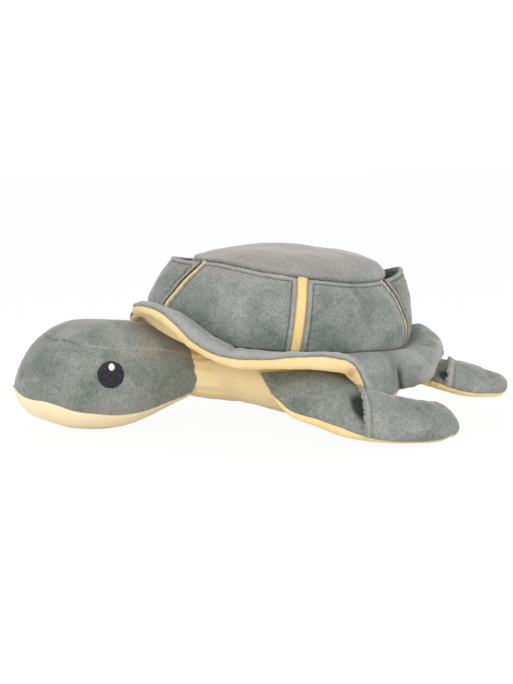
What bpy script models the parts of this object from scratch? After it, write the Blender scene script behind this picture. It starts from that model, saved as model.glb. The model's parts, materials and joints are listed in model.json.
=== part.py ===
"""A stuffed sea turtle: a cream belly, a domed shell with six patch pockets and a wavy brim,
a long head on a short neck, and four flippers that each carry a pocket.
Metres, +Z up. The head points along -X, the belly's flat underside lies on Z = 0."""

import math

import bmesh
import bpy
from mathutils import Matrix, Vector

MM = 0.001

# Cloth, seams and stuffing
PLUSH_THICKNESS = 1.8 * MM
PIECE_GAP = 0.4 * MM
SEAM_GAP = 0.8 * MM
MOST_SEAM_SHARE = 0.45
EMBROIDERY_HEIGHT = 1.2 * MM
SMOOTH_ANGLE = math.radians(40)
FULL_TURN = 360.0
HALF_TURN = 180.0

# The shell's middle, ahead of the origin, which is under the flat patch of the belly
SHELL_MIDDLE_X = -40 * MM

# Torso: the stuffed cream cushion under the shell
TORSO_LENGTH = 156 * MM
TORSO_WIDTH = 152 * MM
TORSO_HEIGHT = 60 * MM
TORSO_SETBACK = 16 * MM
TORSO_CENTRE_X = SHELL_MIDDLE_X + TORSO_SETBACK
CHEST_RISE = 22 * MM
FLAT_PATCH_LENGTH = 34 * MM
FLAT_PATCH_WIDTH = 52 * MM
# Each ring of the torso: share of the height, share of the half width
torso_profile_shares = (
    (0.0, 0.60),
    (0.05, 0.74),
    (0.15, 0.865),
    (0.30, 0.975),
    (0.48, 1.0),
    (0.66, 0.985),
    (0.82, 0.935),
    (0.93, 0.865),
    (1.0, 0.78),
)
TORSO_SIDES = 28
PROBE_STEPS = 60
PROBE_HALVINGS = 20

# Shell: a dome that leans back, on a seat that the head pushes up in front
SHELL_LENGTH = 197 * MM
SHELL_WIDTH = 172 * MM
SEAT_SLOPE = math.radians(4)
SEAT_FRONT_RISE = 13 * MM
SEAT_RISE_START = 46 * MM
SHELL_WALL_HEIGHT = 58 * MM
CAP_EDGE_HEIGHT = TORSO_HEIGHT + SHELL_WALL_HEIGHT
CAP_SLOPE = math.radians(5.3)
CAP_SETBACK = 8 * MM
CAP_RISE = 18.5 * MM
# Each ring of the shell wall: share of the wall's height, of the half length, of the half width
wall_profile_shares = (
    (0.0, 1.0, 1.0),
    (0.16, 1.003, 1.005),
    (0.34, 0.985, 0.992),
    (0.54, 0.93, 0.957),
    (0.74, 0.862, 0.90),
    (0.90, 0.784, 0.83),
    (1.0, 0.73, 0.785),
)
# Each ring of the cap: share of the cap's rise, share of the cap's half length and half width
cap_profile_shares = ((0.26, 0.93), (0.58, 0.74), (0.83, 0.49), (0.96, 0.24))
# The pockets from the right rear round by the front, with the angle where each begins
pocket_starts = (
    ("pocket_rear_right", 22.0),
    ("pocket_front_right", 90.0),
    ("pocket_front", 159.0),
    ("pocket_front_left", 201.0),
    ("pocket_rear_left", 270.0),
    ("pocket_rear", 338.0),
)
gaping_pockets = ("pocket_front", "pocket_rear")
PLAN_FLAT_SHARE = 0.055
POCKET_COLUMNS = 5
STRIP_WIDTH = 7 * MM
LEAST_STRIP_SHARE = 0.5
POCKET_GAPE = 16 * MM
POCKET_GAPE_POWER = 1.2
POCKET_SPREAD_POWER = 0.8
CAP_SEAM_SHARE = 0.3

# Brim: the wavy flange round the shell, grey above and cream below
BRIM_TOP_THICKNESS = 2.4 * MM
BRIM_UNDER_THICKNESS = 4.2 * MM
BRIM_FOOT_CLEARANCE = 1 * MM
BRIM_REACH = 20 * MM
BRIM_WAVE = 30 * MM
BRIM_SEAT_SHARE = 0.62
BRIM_SIDES = 60
BRIM_CURL_POWER = 1.6
LEAST_LEAN_SHARE = -0.2
FOOT_BLEND_SHARE = 0.4
FOOT_ROW_SHARE = 0.001
SLOPE_STEP_SHARE = 0.02
BRIM_ROWS = 4
# The brim's edge round the shell, from the rear by the right side, the front and the left side:
# degrees, share of the reach, share of the wave that the edge rises, and that its middle arches
brim_edge_shares = (
    (0, 0.92, 0.06, 0.10),
    (22, 0.90, 0.10, 0.10),
    (45, 0.50, -0.42, 0.10),
    (68, 0.90, -0.05, 0.06),
    (90, 1.0, 0.06, 0.04),
    (105, 1.0, -0.02, 0.05),
    (120, 1.0, -0.10, 0.05),
    (135, 0.95, 0.06, 0.05),
    (145, 0.88, 0.30, 0.04),
    (155, 0.85, 0.44, 0.02),
    (167, 0.82, 0.34, 0.02),
    (180, 0.80, 0.22, 0.04),
    (193, 0.82, 0.36, 0.02),
    (205, 0.88, 0.48, 0.0),
    (215, 0.92, 0.32, 0.04),
    (225, 0.98, 0.08, 0.05),
    (240, 1.0, -0.10, 0.05),
    (255, 1.0, -0.03, 0.05),
    (270, 1.0, 0.06, 0.04),
    (285, 0.95, 0.04, 0.05),
    (297, 0.60, -0.38, 0.10),
    (308, 0.36, -0.74, 0.10),
    (321, 0.40, -0.78, 0.14),
    (334, 0.72, -0.32, 0.20),
    (347, 0.95, 0.04, 0.16),
)

# Head: a long egg whose narrow end meets the neck
HEAD_LENGTH = 128 * MM
HEAD_WIDTH = 87 * MM
HEAD_HEIGHT = 81 * MM
HEAD_FLOOR_CLEARANCE = 1.2 * MM
# Each ring from the nose to the neck: share of the length, of the height to the top and to the
# underside, of the half width, then the seam angles of the crown and of the chin in degrees
head_ring_shares = (
    (0.024, 0.555, 0.282, 0.29, 89, -12),
    (0.052, 0.650, 0.211, 0.42, 89, -15),
    (0.095, 0.757, 0.147, 0.57, 89, -18),
    (0.164, 0.868, 0.093, 0.725, 84, -22),
    (0.240, 0.944, 0.046, 0.84, 62, -26),
    (0.328, 0.990, 0.012, 0.93, 48, -30),
    (0.443, 1.0, 0.0, 0.988, 40, -35),
    (0.560, 0.996, 0.003, 1.0, 36, -38),
    (0.676, 0.982, 0.038, 0.966, 34, -42),
    (0.790, 0.944, 0.110, 0.885, 32, -46),
    (0.885, 0.880, 0.190, 0.78, 30, -47),
    (1.0, 0.750, 0.285, 0.64, 28, -46),
)
NOSE_HEIGHT_SHARE = 0.41
NOSE_SEAM_SHARE = 0.12
CROWN_SKIPPED_ROWS = 3
SIDE_COLUMNS = 4
CROWN_COLUMNS = 4
CHIN_COLUMNS = 6
EYE_DIAMETER = 20.5 * MM
EYE_ALONG_SHARE = 0.53
EYE_ANGLE = math.radians(9)
GLINT_DIAMETER = 5.2 * MM
GLINT_RISE = 5.2 * MM
GLINT_SHIFT = 1.6 * MM
EYE_SIDES = 24
GLINT_SIDES = 12
EYE_DEPTH = 7 * MM

# Neck: a short sleeve between the head and the torso
NECK_LENGTH = 8 * MM
NECK_HEIGHT = 35 * MM
NECK_WIDTH = 54 * MM
NECK_SIDES = 20
NECK_ROWS = 3

# Flippers: each a flat stuffed blade, whose hinge is beside the torso
FLIPPER_SKIN = 1.4 * MM
EDGE_INSET_RATIO = 1.6
LEAST_WIDTH_SHARE = 0.3
LEAST_THICKNESS_SHARE = 0.2
POCKET_HEM_INSET = 3.2 * MM
POCKET_LIFTED_ROWS = 3
POCKET_ARCH_SKEW = 0.85
POCKET_ARCH_POWER = 1.4
FLIPPER_BEND_POWER = 1.5
FRONT_FLIPPER_LENGTH = 143 * MM
FRONT_FLIPPER_SPREAD = 26 * MM
FRONT_FLIPPER_DROP = 49 * MM
FRONT_FLIPPER_THICKNESS = 20 * MM
FRONT_HINGE_AHEAD = 9 * MM
FRONT_HINGE_X = TORSO_CENTRE_X - FRONT_HINGE_AHEAD
FRONT_HINGE_HEIGHT = 53 * MM
FRONT_HINGE_CLEARANCE = 3 * MM
RIGHT_FRONT_SPREAD = 20 * MM
RIGHT_FRONT_DRAW_IN = 16 * MM
# Each station of the front flipper: inner edge along, out and down, outer edge along, out and
# down, as shares of the length, the spread and the drop, then the share of the thickness
front_flipper_shares = (
    (-0.225, -0.62, 0.06, -0.185, 0.26, 0.36, 0.34),
    (-0.150, -0.36, 0.04, -0.105, 0.46, 0.64, 0.58),
    (-0.04, -0.115, 0.03, 0.03, 0.72, 0.86, 0.84),
    (0.08, 0.10, 0.08, 0.18, 0.90, 0.97, 0.98),
    (0.20, 0.14, 0.22, 0.33, 0.98, 1.0, 1.0),
    (0.32, 0.18, 0.37, 0.45, 1.0, 1.0, 1.0),
    (0.44, 0.18, 0.46, 0.565, 1.0, 1.0, 0.98),
    (0.56, 0.10, 0.54, 0.66, 0.92, 0.99, 0.92),
    (0.66, 0.06, 0.61, 0.725, 0.74, 0.97, 0.78),
    (0.725, 0.16, 0.70, 0.76, 0.54, 0.92, 0.54),
    (0.765, 0.30, 0.80, 0.772, 0.40, 0.86, 0.22),
)
REAR_FLIPPER_LENGTH = 76 * MM
REAR_FLIPPER_WIDTH = 46 * MM
REAR_FLIPPER_THICKNESS = 16 * MM
REAR_FLIPPER_DROP = 7 * MM
REAR_HINGE_ANGLE = math.radians(18)
REAR_FLIPPER_SPLAY = math.radians(8)
REAR_FLIPPER_ROLL = math.radians(18)
REAR_HINGE_HEIGHT = 39 * MM
REAR_HINGE_CLEARANCE = 3 * MM
RIGHT_REAR_DROOP = math.radians(9)
# Each station of the rear flipper: share of the length, inner and outer edge as shares of the
# width, then the share of the thickness
rear_flipper_shares = (
    (-0.052, 0.33, -0.33, 0.15),
    (0.03, 0.36, -0.36, 0.36),
    (0.12, 0.40, -0.40, 0.72),
    (0.26, 0.43, -0.46, 0.92),
    (0.42, 0.43, -0.50, 1.0),
    (0.58, 0.38, -0.50, 1.0),
    (0.74, 0.29, -0.44, 0.92),
    (0.88, 0.15, -0.32, 0.74),
    (0.97, -0.02, -0.20, 0.46),
    (1.0, -0.08, -0.14, 0.18),
)
FLIPPER_SIDES = 12
FLIPPER_FLOOR_CLEARANCE = 0.5 * MM
# Each flipper pocket: the rows before its mouth, the columns up to its outer seam, its gape
POCKET_MOUTH_ROWS = 4
FRONT_SEAM_COLUMNS = 5
REAR_SEAM_COLUMNS = 6
FRONT_POCKET_GAPE = 11.5 * MM
REAR_POCKET_GAPE = 9 * MM

PIVOT_SIZE = 10 * MM

GREY_GREEN = (0.24, 0.29, 0.26, 1.0)
CREAM = (0.84, 0.66, 0.33, 1.0)
FILL_WHITE = (0.85, 0.85, 0.83, 1.0)
EYE_BLACK = (0.010, 0.010, 0.014, 1.0)
GLINT_WHITE = (0.90, 0.90, 0.92, 1.0)
PLUSH_ROUGHNESS = 0.9
FILL_ROUGHNESS = 0.95
THREAD_ROUGHNESS = 0.6


def clear_scene():
    for old in list(bpy.data.objects):
        bpy.data.objects.remove(old, do_unlink=True)


def make_material(name, colour, roughness):
    material = bpy.data.materials.new(name)
    material.use_nodes = True
    shader = material.node_tree.nodes["Principled BSDF"]
    shader.inputs["Base Color"].default_value = colour
    shader.inputs["Roughness"].default_value = roughness
    shader.inputs["Metallic"].default_value = 0.0
    return material


def make_object(name, mesh_data, material):
    """Turns a bmesh into a named object with its faces pointing out."""
    bmesh.ops.recalc_face_normals(mesh_data, faces=mesh_data.faces)
    mesh = bpy.data.meshes.new(name)
    mesh_data.to_mesh(mesh)
    mesh_data.free()
    mesh.materials.append(material)
    mesh.shade_smooth()
    mesh.set_sharp_from_angle(angle=SMOOTH_ANGLE)
    piece = bpy.data.objects.new(name, mesh)
    bpy.context.scene.collection.objects.link(piece)
    return piece


def add_sheet(mesh_data, rows, closed_columns=False):
    """Adds a grid of triangles through rows of points and returns its rows of vertices."""
    grid = [[mesh_data.verts.new(point) for point in row] for row in rows]
    columns = len(grid[0])
    spans = columns if closed_columns else columns - 1
    for low, high in zip(grid, grid[1:]):
        for j in range(spans):
            k = (j + 1) % columns
            mesh_data.faces.new((low[j], low[k], high[k]))
            mesh_data.faces.new((low[j], high[k], high[j]))
    return grid


def add_wall(mesh_data, outer, inner, closed=False):
    """Joins two matching rows of vertices with a strip."""
    count = len(outer)
    for j in range(count if closed else count - 1):
        k = (j + 1) % count
        mesh_data.faces.new((outer[j], outer[k], inner[k]))
        mesh_data.faces.new((outer[j], inner[k], inner[j]))


def thick_sheet(name, outer_rows, inner_rows, material, closed_columns=False):
    """A sewn panel: an outer and an inner sheet with walls round their edges."""
    mesh_data = bmesh.new()
    outer = add_sheet(mesh_data, outer_rows, closed_columns)
    inner = add_sheet(mesh_data, inner_rows, closed_columns)
    add_wall(mesh_data, outer[0], inner[0], closed_columns)
    add_wall(mesh_data, outer[-1], inner[-1], closed_columns)
    if not closed_columns:
        for side in (0, -1):
            add_wall(mesh_data, [row[side] for row in outer], [row[side] for row in inner])
    return make_object(name, mesh_data, material)


def add_cap(mesh_data, ring, pole=None):
    """Closes a ring of vertices with a fan to its pole, or to its own middle."""
    centre = pole
    if centre is None:
        centre = sum((vertex.co for vertex in ring), Vector()) / len(ring)
    tip = mesh_data.verts.new(centre)
    for j, vertex in enumerate(ring):
        mesh_data.faces.new((vertex, ring[(j + 1) % len(ring)], tip))
    return tip


def closed_body(rings, first_pole=None, last_pole=None):
    """A bmesh lofted through closed rings, with both ends closed."""
    mesh_data = bmesh.new()
    grid = add_sheet(mesh_data, rings, closed_columns=True)
    tips = (
        add_cap(mesh_data, grid[0], first_pole),
        add_cap(mesh_data, grid[-1], last_pole),
    )
    bmesh.ops.recalc_face_normals(mesh_data, faces=mesh_data.faces)
    return mesh_data, grid, tips


class Form:
    """A stuffed shape given by closed rings, which can be read at any depth under its surface."""

    def __init__(self, rings, first_pole=None, last_pole=None):
        mesh_data, grid, tips = closed_body(rings, first_pole, last_pole)
        mesh_data.normal_update()
        self.places = [[vertex.co.copy() for vertex in row] for row in grid]
        self.inward = [
            [-vertex.normal * vertex.calc_shell_factor() for vertex in row] for row in grid
        ]
        self.pole_places = [tip.co.copy() for tip in tips]
        self.pole_inward = [-tip.normal * tip.calc_shell_factor() for tip in tips]
        mesh_data.free()

    def rings_at(self, depth):
        return [
            [place + inward * depth for place, inward in zip(places, inwards)]
            for places, inwards in zip(self.places, self.inward)
        ]

    def poles_at(self, depth):
        return [
            place + inward * depth
            for place, inward in zip(self.pole_places, self.pole_inward)
        ]

    def solid(self, name, depth, material):
        first, last = self.poles_at(depth)
        mesh_data, _, _ = closed_body(self.rings_at(depth), first, last)
        return make_object(name, mesh_data, material)

    def rows(self, depth, ring_range, column_range):
        """Part of the surface at a depth; column numbers wrap round the ring."""
        rings = self.rings_at(depth)
        columns = len(rings[0])
        return [[rings[i][j % columns] for j in column_range] for i in ring_range]


def pulled_in(rows, seam, sides="all", ends="all"):
    """Moves the border of a grid of points inwards along its own facets by half a seam."""

    def between(border, inside):
        length = (inside - border).length
        if length == 0:
            return border
        return border.lerp(inside, min(seam / 2 / length, MOST_SEAM_SHARE))

    moved = [list(row) for row in rows]
    if sides in ("all", "first"):
        for row in moved:
            row[0] = between(row[0], row[1])
    if sides in ("all", "last"):
        for row in moved:
            row[-1] = between(row[-1], row[-2])
    if ends in ("all", "first"):
        moved[0] = [between(a, b) for a, b in zip(moved[0], moved[1])]
    if ends in ("all", "last"):
        moved[-1] = [between(a, b) for a, b in zip(moved[-1], moved[-2])]
    return moved


def seat_height(x):
    """Height where the torso ends and the brim begins: a slope that curves up in front."""
    ahead = SHELL_MIDDLE_X - x
    share = (ahead - SEAT_RISE_START) / (SHELL_LENGTH / 2 - SEAT_RISE_START)
    return TORSO_HEIGHT + math.tan(SEAT_SLOPE) * ahead + SEAT_FRONT_RISE * max(share, 0.0) ** 2


def belly_height(x):
    """Height of the belly's underside, which rises from the flat patch to the chest."""
    flat_end = -FLAT_PATCH_LENGTH / 2
    chest = TORSO_CENTRE_X - TORSO_LENGTH / 2
    share = min(max((flat_end - x) / (flat_end - chest), 0.0), 1.0)
    return CHEST_RISE * math.sin(math.pi / 2 * share)


def ellipse_point(angle, half_length, half_width):
    return Vector((half_length * math.cos(angle), half_width * math.sin(angle), 0))


# Torso

def torso_ring(height_share, width_share):
    ring = []
    for k in range(TORSO_SIDES):
        angle = 2 * math.pi * k / TORSO_SIDES
        place = ellipse_point(angle, TORSO_LENGTH / 2, TORSO_WIDTH / 2) * width_share
        place.x += TORSO_CENTRE_X
        low = belly_height(place.x)
        place.z = low + height_share * (seat_height(place.x) - low)
        ring.append(place)
    return ring


def flat_patch_ring():
    count = TORSO_SIDES
    turn = 2 * math.pi
    half_length = FLAT_PATCH_LENGTH / 2
    half_width = FLAT_PATCH_WIDTH / 2
    return [ellipse_point(turn * k / count, half_length, half_width) for k in range(count)]


def in_torso(place):
    """True where a point lies within the torso's skin."""
    low = belly_height(place.x)
    height_share = (place.z - low) / (seat_height(place.x) - low)
    if not 0 <= height_share <= 1:
        return False
    k = max(i for i, row in enumerate(torso_profile_shares[:-1]) if row[0] <= height_share)
    start, end = torso_profile_shares[k], torso_profile_shares[k + 1]
    t = (height_share - start[0]) / (end[0] - start[0])
    width_share = start[1] + (end[1] - start[1]) * t
    along = (place.x - TORSO_CENTRE_X) / (TORSO_LENGTH / 2 * width_share)
    across = place.y / (TORSO_WIDTH / 2 * width_share)
    return along**2 + across**2 < 1


def torso_front_x(y, z):
    """Where a line along X first meets the front of the torso."""
    front = TORSO_CENTRE_X - TORSO_LENGTH / 2
    step = TORSO_LENGTH / 2 / PROBE_STEPS
    probes = [front + step * k for k in range(PROBE_STEPS + 1)]
    inside = next(x for x in probes if in_torso(Vector((x, y, z))))
    outside = inside - step
    for _ in range(PROBE_HALVINGS):
        middle = (outside + inside) / 2
        if in_torso(Vector((middle, y, z))):
            inside = middle
        else:
            outside = middle
    return outside


def build_torso(cream, fill):
    rings = [flat_patch_ring()]
    rings += [torso_ring(height, width) for height, width in torso_profile_shares]
    floor_middle = Vector((0, 0, 0))
    top_middle = Vector((TORSO_CENTRE_X, 0, seat_height(TORSO_CENTRE_X)))
    form = Form(rings, floor_middle, top_middle)
    skin_rows = form.rings_at(0)
    lining_rows = form.rings_at(PLUSH_THICKNESS)
    mesh_data = bmesh.new()
    outer = add_sheet(mesh_data, skin_rows, closed_columns=True)
    inner = add_sheet(mesh_data, lining_rows, closed_columns=True)
    add_wall(mesh_data, outer[-1], inner[-1], closed=True)
    add_cap(mesh_data, outer[0], form.poles_at(0)[0])
    add_cap(mesh_data, inner[0], form.poles_at(PLUSH_THICKNESS)[0])
    make_object("belly_panel", mesh_data, cream)

    core_rings = form.rings_at(PLUSH_THICKNESS + PIECE_GAP)
    core_rings.append(boss_ring(-PIECE_GAP))
    core_rings.append(boss_ring(brim_thickness() + PIECE_GAP))
    mesh_data, _, _ = closed_body(core_rings, form.poles_at(PLUSH_THICKNESS + PIECE_GAP)[0])
    make_object("belly_stuffing", mesh_data, fill)


def brim_thickness():
    return BRIM_TOP_THICKNESS + BRIM_UNDER_THICKNESS + PIECE_GAP


def boss_ring(lift):
    """The middle of the torso's stuffing, which passes through the brim up to the shell."""
    ring = torso_ring(1.0, BRIM_SEAT_SHARE)
    for place in ring:
        place.z += lift
    return ring


# Shell

def shell_seat_lift():
    return brim_thickness() + 2 * PIECE_GAP


def pocket_span(k):
    """The angles where the pocket numbered k starts and ends, in radians."""
    start = pocket_starts[k][1]
    end = pocket_starts[(k + 1) % len(pocket_starts)][1]
    if end < start:
        end += FULL_TURN
    return math.radians(start), math.radians(end)


def plan_share(angle):
    """1 at the shell's corners and a little less between them."""
    full_turn = 2 * math.pi
    widest = max(end - start for start, end in map(pocket_span, range(len(pocket_starts))))
    for start, end in map(pocket_span, range(len(pocket_starts))):
        t = ((angle - start) % full_turn) / (end - start)
        if t <= 1:
            flat = PLAN_FLAT_SHARE * ((end - start) / widest) ** 2
            return 1 - flat * math.sin(math.pi * t) ** 2
    return 1.0


def shell_columns(length_share):
    """The angles of the shell's columns: both edges of each strip, then the pocket between."""
    mean_diameter = (SHELL_LENGTH + SHELL_WIDTH) / 2
    half_strip = STRIP_WIDTH / mean_diameter / max(length_share, LEAST_STRIP_SHARE)
    angles = []
    for k in range(len(pocket_starts)):
        start, end = pocket_span(k)
        angles.append(start - half_strip)
        for j in range(POCKET_COLUMNS):
            t = j / POCKET_COLUMNS
            angles.append(start + half_strip + (end - start - 2 * half_strip) * t)
    return angles


def shell_ring(wall_share, length_share, width_share, rise):
    """A ring of the shell, at a share of the way up its wall or at a rise over the cap's edge."""
    ring = []
    for angle in shell_columns(length_share):
        half_length = SHELL_LENGTH / 2 * length_share
        half_width = SHELL_WIDTH / 2 * width_share
        place = ellipse_point(angle, half_length, half_width) * plan_share(angle)
        place.x += SHELL_MIDDLE_X + CAP_SETBACK * wall_share
        low = seat_height(place.x) + shell_seat_lift()
        high = CAP_EDGE_HEIGHT - math.tan(CAP_SLOPE) * (place.x - SHELL_MIDDLE_X - CAP_SETBACK)
        place.z = low + (high - low) * wall_share + rise
        ring.append(place)
    return ring


def gape_rows(rows):
    """Draws a pocket's top edge away from the wall, most at its middle."""
    moved = []
    last = len(rows) - 1
    across = len(rows[0]) - 1
    centre = Vector((SHELL_MIDDLE_X, 0, 0))
    for i, row in enumerate(rows):
        rise_share = (i / last) ** POCKET_GAPE_POWER
        moved_row = []
        for j, place in enumerate(row):
            away = Vector((place.x - centre.x, place.y - centre.y, 0)).normalized()
            spread_share = abs(math.sin(math.pi * j / across)) ** POCKET_SPREAD_POWER
            moved_row.append(place + away * POCKET_GAPE * rise_share * spread_share)
        moved.append(moved_row)
    return moved


def build_shell(grey, cream, fill):
    rings = [shell_ring(wall, length, width, 0) for wall, length, width in wall_profile_shares]
    _, cap_length, cap_width = wall_profile_shares[-1]
    rings += [
        shell_ring(1, cap_length * width, cap_width * width, CAP_RISE * rise)
        for rise, width in cap_profile_shares
    ]
    base_middle = Vector((SHELL_MIDDLE_X, 0, seat_height(SHELL_MIDDLE_X) + shell_seat_lift()))
    apex = Vector((SHELL_MIDDLE_X + CAP_SETBACK, 0, CAP_EDGE_HEIGHT + CAP_RISE))
    form = Form(rings, base_middle, apex)
    wall_rings = len(wall_profile_shares)
    per_pocket = POCKET_COLUMNS + 1

    for k, (name, _) in enumerate(pocket_starts):
        columns = range(k * per_pocket + 1, k * per_pocket + POCKET_COLUMNS + 2)
        outer = form.rows(0, range(wall_rings), columns)
        inner = form.rows(PLUSH_THICKNESS, range(wall_rings), columns)
        if name in gaping_pockets:
            outer = gape_rows(outer)
            inner = gape_rows(inner)
        outer = pulled_in(outer, SEAM_GAP, sides="none")
        inner = pulled_in(inner, SEAM_GAP, sides="none")
        thick_sheet(name, outer, inner, grey)

    mesh_data = bmesh.new()
    cap_rings = range(wall_rings - 1, len(rings))
    everywhere = range(len(rings[0]))
    outer_rows = form.rows(0, cap_rings, everywhere)
    inner_rows = form.rows(PLUSH_THICKNESS, cap_rings, everywhere)
    outer_rows[0] = [a.lerp(b, CAP_SEAM_SHARE) for a, b in zip(outer_rows[0], outer_rows[1])]
    inner_rows[0] = [a.lerp(b, CAP_SEAM_SHARE) for a, b in zip(inner_rows[0], inner_rows[1])]
    outer = add_sheet(mesh_data, outer_rows, closed_columns=True)
    inner = add_sheet(mesh_data, inner_rows, closed_columns=True)
    add_wall(mesh_data, outer[0], inner[0], closed=True)
    add_cap(mesh_data, outer[-1], form.poles_at(0)[1])
    add_cap(mesh_data, inner[-1], form.poles_at(PLUSH_THICKNESS)[1])
    make_object("shell_cap", mesh_data, grey)

    band_depth = PLUSH_THICKNESS + PIECE_GAP
    band_rings = range(wall_rings + 1)
    thick_sheet(
        "shell_band",
        form.rows(band_depth, band_rings, everywhere),
        form.rows(band_depth + PLUSH_THICKNESS, band_rings, everywhere),
        cream,
        closed_columns=True,
    )
    core_depth = band_depth + PLUSH_THICKNESS + PIECE_GAP
    core_rings = form.rings_at(core_depth)
    # The stuffing's foot is one straight slope, so that a low wall doesn't fold it
    core_rings.pop(1)
    mesh_data, _, _ = closed_body(core_rings, *form.poles_at(core_depth))
    make_object("shell_stuffing", mesh_data, fill)


# Brim

def periodic_value(table, column, angle):
    """A smooth closed curve through one column of an angle table."""
    count = len(table)
    k = max(i for i in range(count) if table[i][0] <= angle)
    before = table[(k - 1) % count]
    start = table[k]
    end = table[(k + 1) % count]
    after = table[(k + 2) % count]
    span = (end[0] - start[0]) % FULL_TURN
    t = (angle - start[0]) / span
    slope_in = (end[column] - before[column]) / ((end[0] - before[0]) % FULL_TURN) * span
    slope_out = (after[column] - start[column]) / ((after[0] - start[0]) % FULL_TURN) * span
    return (
        (2 * t**3 - 3 * t**2 + 1) * start[column]
        + (t**3 - 2 * t**2 + t) * slope_in
        + (3 * t**2 - 2 * t**3) * end[column]
        + (t**3 - t**2) * slope_out
    )


def brim_row_point(degrees, row_share):
    """A point of the brim's underside before it waves: from its seat in the torso to its edge."""
    angle = math.radians(degrees)
    seat = ellipse_point(angle, TORSO_LENGTH / 2, TORSO_WIDTH / 2) * BRIM_SEAT_SHARE
    seat.x += TORSO_CENTRE_X
    foot = ellipse_point(angle, SHELL_LENGTH / 2, SHELL_WIDTH / 2) * plan_share(angle)
    outward = foot.normalized()
    foot += outward * BRIM_FOOT_CLEARANCE
    foot.x += SHELL_MIDDLE_X
    seat.z = seat_height(seat.x)
    foot.z = seat_height(foot.x)
    if row_share <= 0:
        away = (seat - Vector((TORSO_CENTRE_X, 0, seat.z))).normalized()
        return seat + away * PIECE_GAP
    reach = BRIM_REACH * periodic_value(brim_edge_shares, 1, degrees)
    rise = BRIM_WAVE * periodic_value(brim_edge_shares, 2, degrees)
    arch = BRIM_WAVE * periodic_value(brim_edge_shares, 3, degrees)
    place = foot + outward * reach * row_share
    place.z += rise * row_share**BRIM_CURL_POWER + arch * math.sin(math.pi * row_share) ** 2
    return place


def brim_rows(lift):
    """Rows of the brim at a height above its underside, measured square to it."""
    rows = []
    foot = FOOT_ROW_SHARE
    steps = [0.0] + [foot + (1 - foot) * k / BRIM_ROWS for k in range(BRIM_ROWS + 1)]
    for row_share in steps:
        row = []
        for k in range(BRIM_SIDES):
            degrees = FULL_TURN * k / BRIM_SIDES
            place = brim_row_point(degrees, row_share)
            if row_share > 0:
                ahead = brim_row_point(degrees, min(row_share + SLOPE_STEP_SHARE, 1.0))
                behind = brim_row_point(degrees, max(row_share - SLOPE_STEP_SHARE, foot / 2))
                along = ahead - behind
                around = brim_row_point((degrees + 1) % FULL_TURN, row_share) - place
                normal = along.cross(around).normalized()
            else:
                normal = Vector((0, 0, 1))
            straight_up = Vector((0, 0, 1))
            blend_share = min(row_share / FOOT_BLEND_SHARE, 1.0)
            normal = straight_up.lerp(normal, blend_share).normalized()
            outward = Vector((math.cos(math.radians(degrees)), math.sin(math.radians(degrees)), 0))
            lean = normal.dot(outward)
            if lean < LEAST_LEAN_SHARE:
                normal = (normal + outward * (LEAST_LEAN_SHARE - lean)).normalized()
            row.append(place + normal * lift)
        rows.append(row)
    return rows


def build_brim(grey, cream):
    under_low = PIECE_GAP
    under_high = under_low + BRIM_UNDER_THICKNESS
    top_low = under_high + PIECE_GAP
    top_high = top_low + BRIM_TOP_THICKNESS
    thick_sheet(
        "brim_underside", brim_rows(under_low), brim_rows(under_high), cream, closed_columns=True
    )
    thick_sheet("brim_top", brim_rows(top_low), brim_rows(top_high), grey, closed_columns=True)


# Head

def head_back_x():
    """Where the head's narrow end stops: one neck's length in front of the torso."""
    return TORSO_CENTRE_X - TORSO_LENGTH / 2 - NECK_LENGTH


def head_place(along_share, height_share):
    x = head_back_x() - HEAD_LENGTH * (1 - along_share)
    return Vector((x, 0, HEAD_FLOOR_CLEARANCE + HEAD_HEIGHT * height_share))


def head_angles(crown_seam, chin_seam):
    """Angles round the head, from the left chin seam up over the crown and back underneath."""
    corners = (
        chin_seam,
        crown_seam,
        HALF_TURN - crown_seam,
        HALF_TURN - chin_seam,
        FULL_TURN + chin_seam,
    )
    counts = (SIDE_COLUMNS, CROWN_COLUMNS, SIDE_COLUMNS, CHIN_COLUMNS)
    angles = []
    for start, end, count in zip(corners, corners[1:], counts):
        angles += [start + (end - start) * k / count for k in range(count)]
    return [math.radians(angle) for angle in angles]


def head_ring(along, top, bottom, width, crown_seam, chin_seam):
    centre = head_place(along, (top + bottom) / 2)
    half_height = HEAD_HEIGHT * (top - bottom) / 2
    half_width = HEAD_WIDTH / 2 * width
    return [
        centre
        + Vector((0, -half_width * math.cos(angle), half_height * math.sin(angle)))
        for angle in head_angles(crown_seam, chin_seam)
    ]


def build_head(grey, cream, fill):
    rings = [head_ring(*row) for row in head_ring_shares]
    form = Form(rings, head_place(0.0, NOSE_HEIGHT_SHARE))
    nose = [form.poles_at(0)[0], form.poles_at(PLUSH_THICKNESS)[0]]

    def face_panel(name, first_ring, first_column, count, material):
        columns = range(first_column, first_column + count + 1)
        ring_range = range(first_ring, len(rings))
        layers = []
        for depth, tip in zip((0, PLUSH_THICKNESS), nose):
            rows = form.rows(depth, ring_range, columns)
            if first_ring == 0:
                tip_row = [tip.lerp(place, NOSE_SEAM_SHARE) for place in rows[0]]
                rows.insert(0, tip_row)
                rows = pulled_in(rows, SEAM_GAP, ends="last")
            else:
                rows = pulled_in(rows, SEAM_GAP)
            layers.append(rows)
        return thick_sheet(name, layers[0], layers[1], material)

    crown_start = SIDE_COLUMNS
    right_start = crown_start + CROWN_COLUMNS
    chin_start = right_start + SIDE_COLUMNS
    face_panel("head_side_left", 0, 0, SIDE_COLUMNS, grey)
    face_panel("head_crown", CROWN_SKIPPED_ROWS, crown_start, CROWN_COLUMNS, grey)
    face_panel("head_side_right", 0, right_start, SIDE_COLUMNS, grey)
    face_panel("head_chin", 0, chin_start, CHIN_COLUMNS, cream)
    form.solid("head_stuffing", PLUSH_THICKNESS + PIECE_GAP, fill)
    return form


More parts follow.
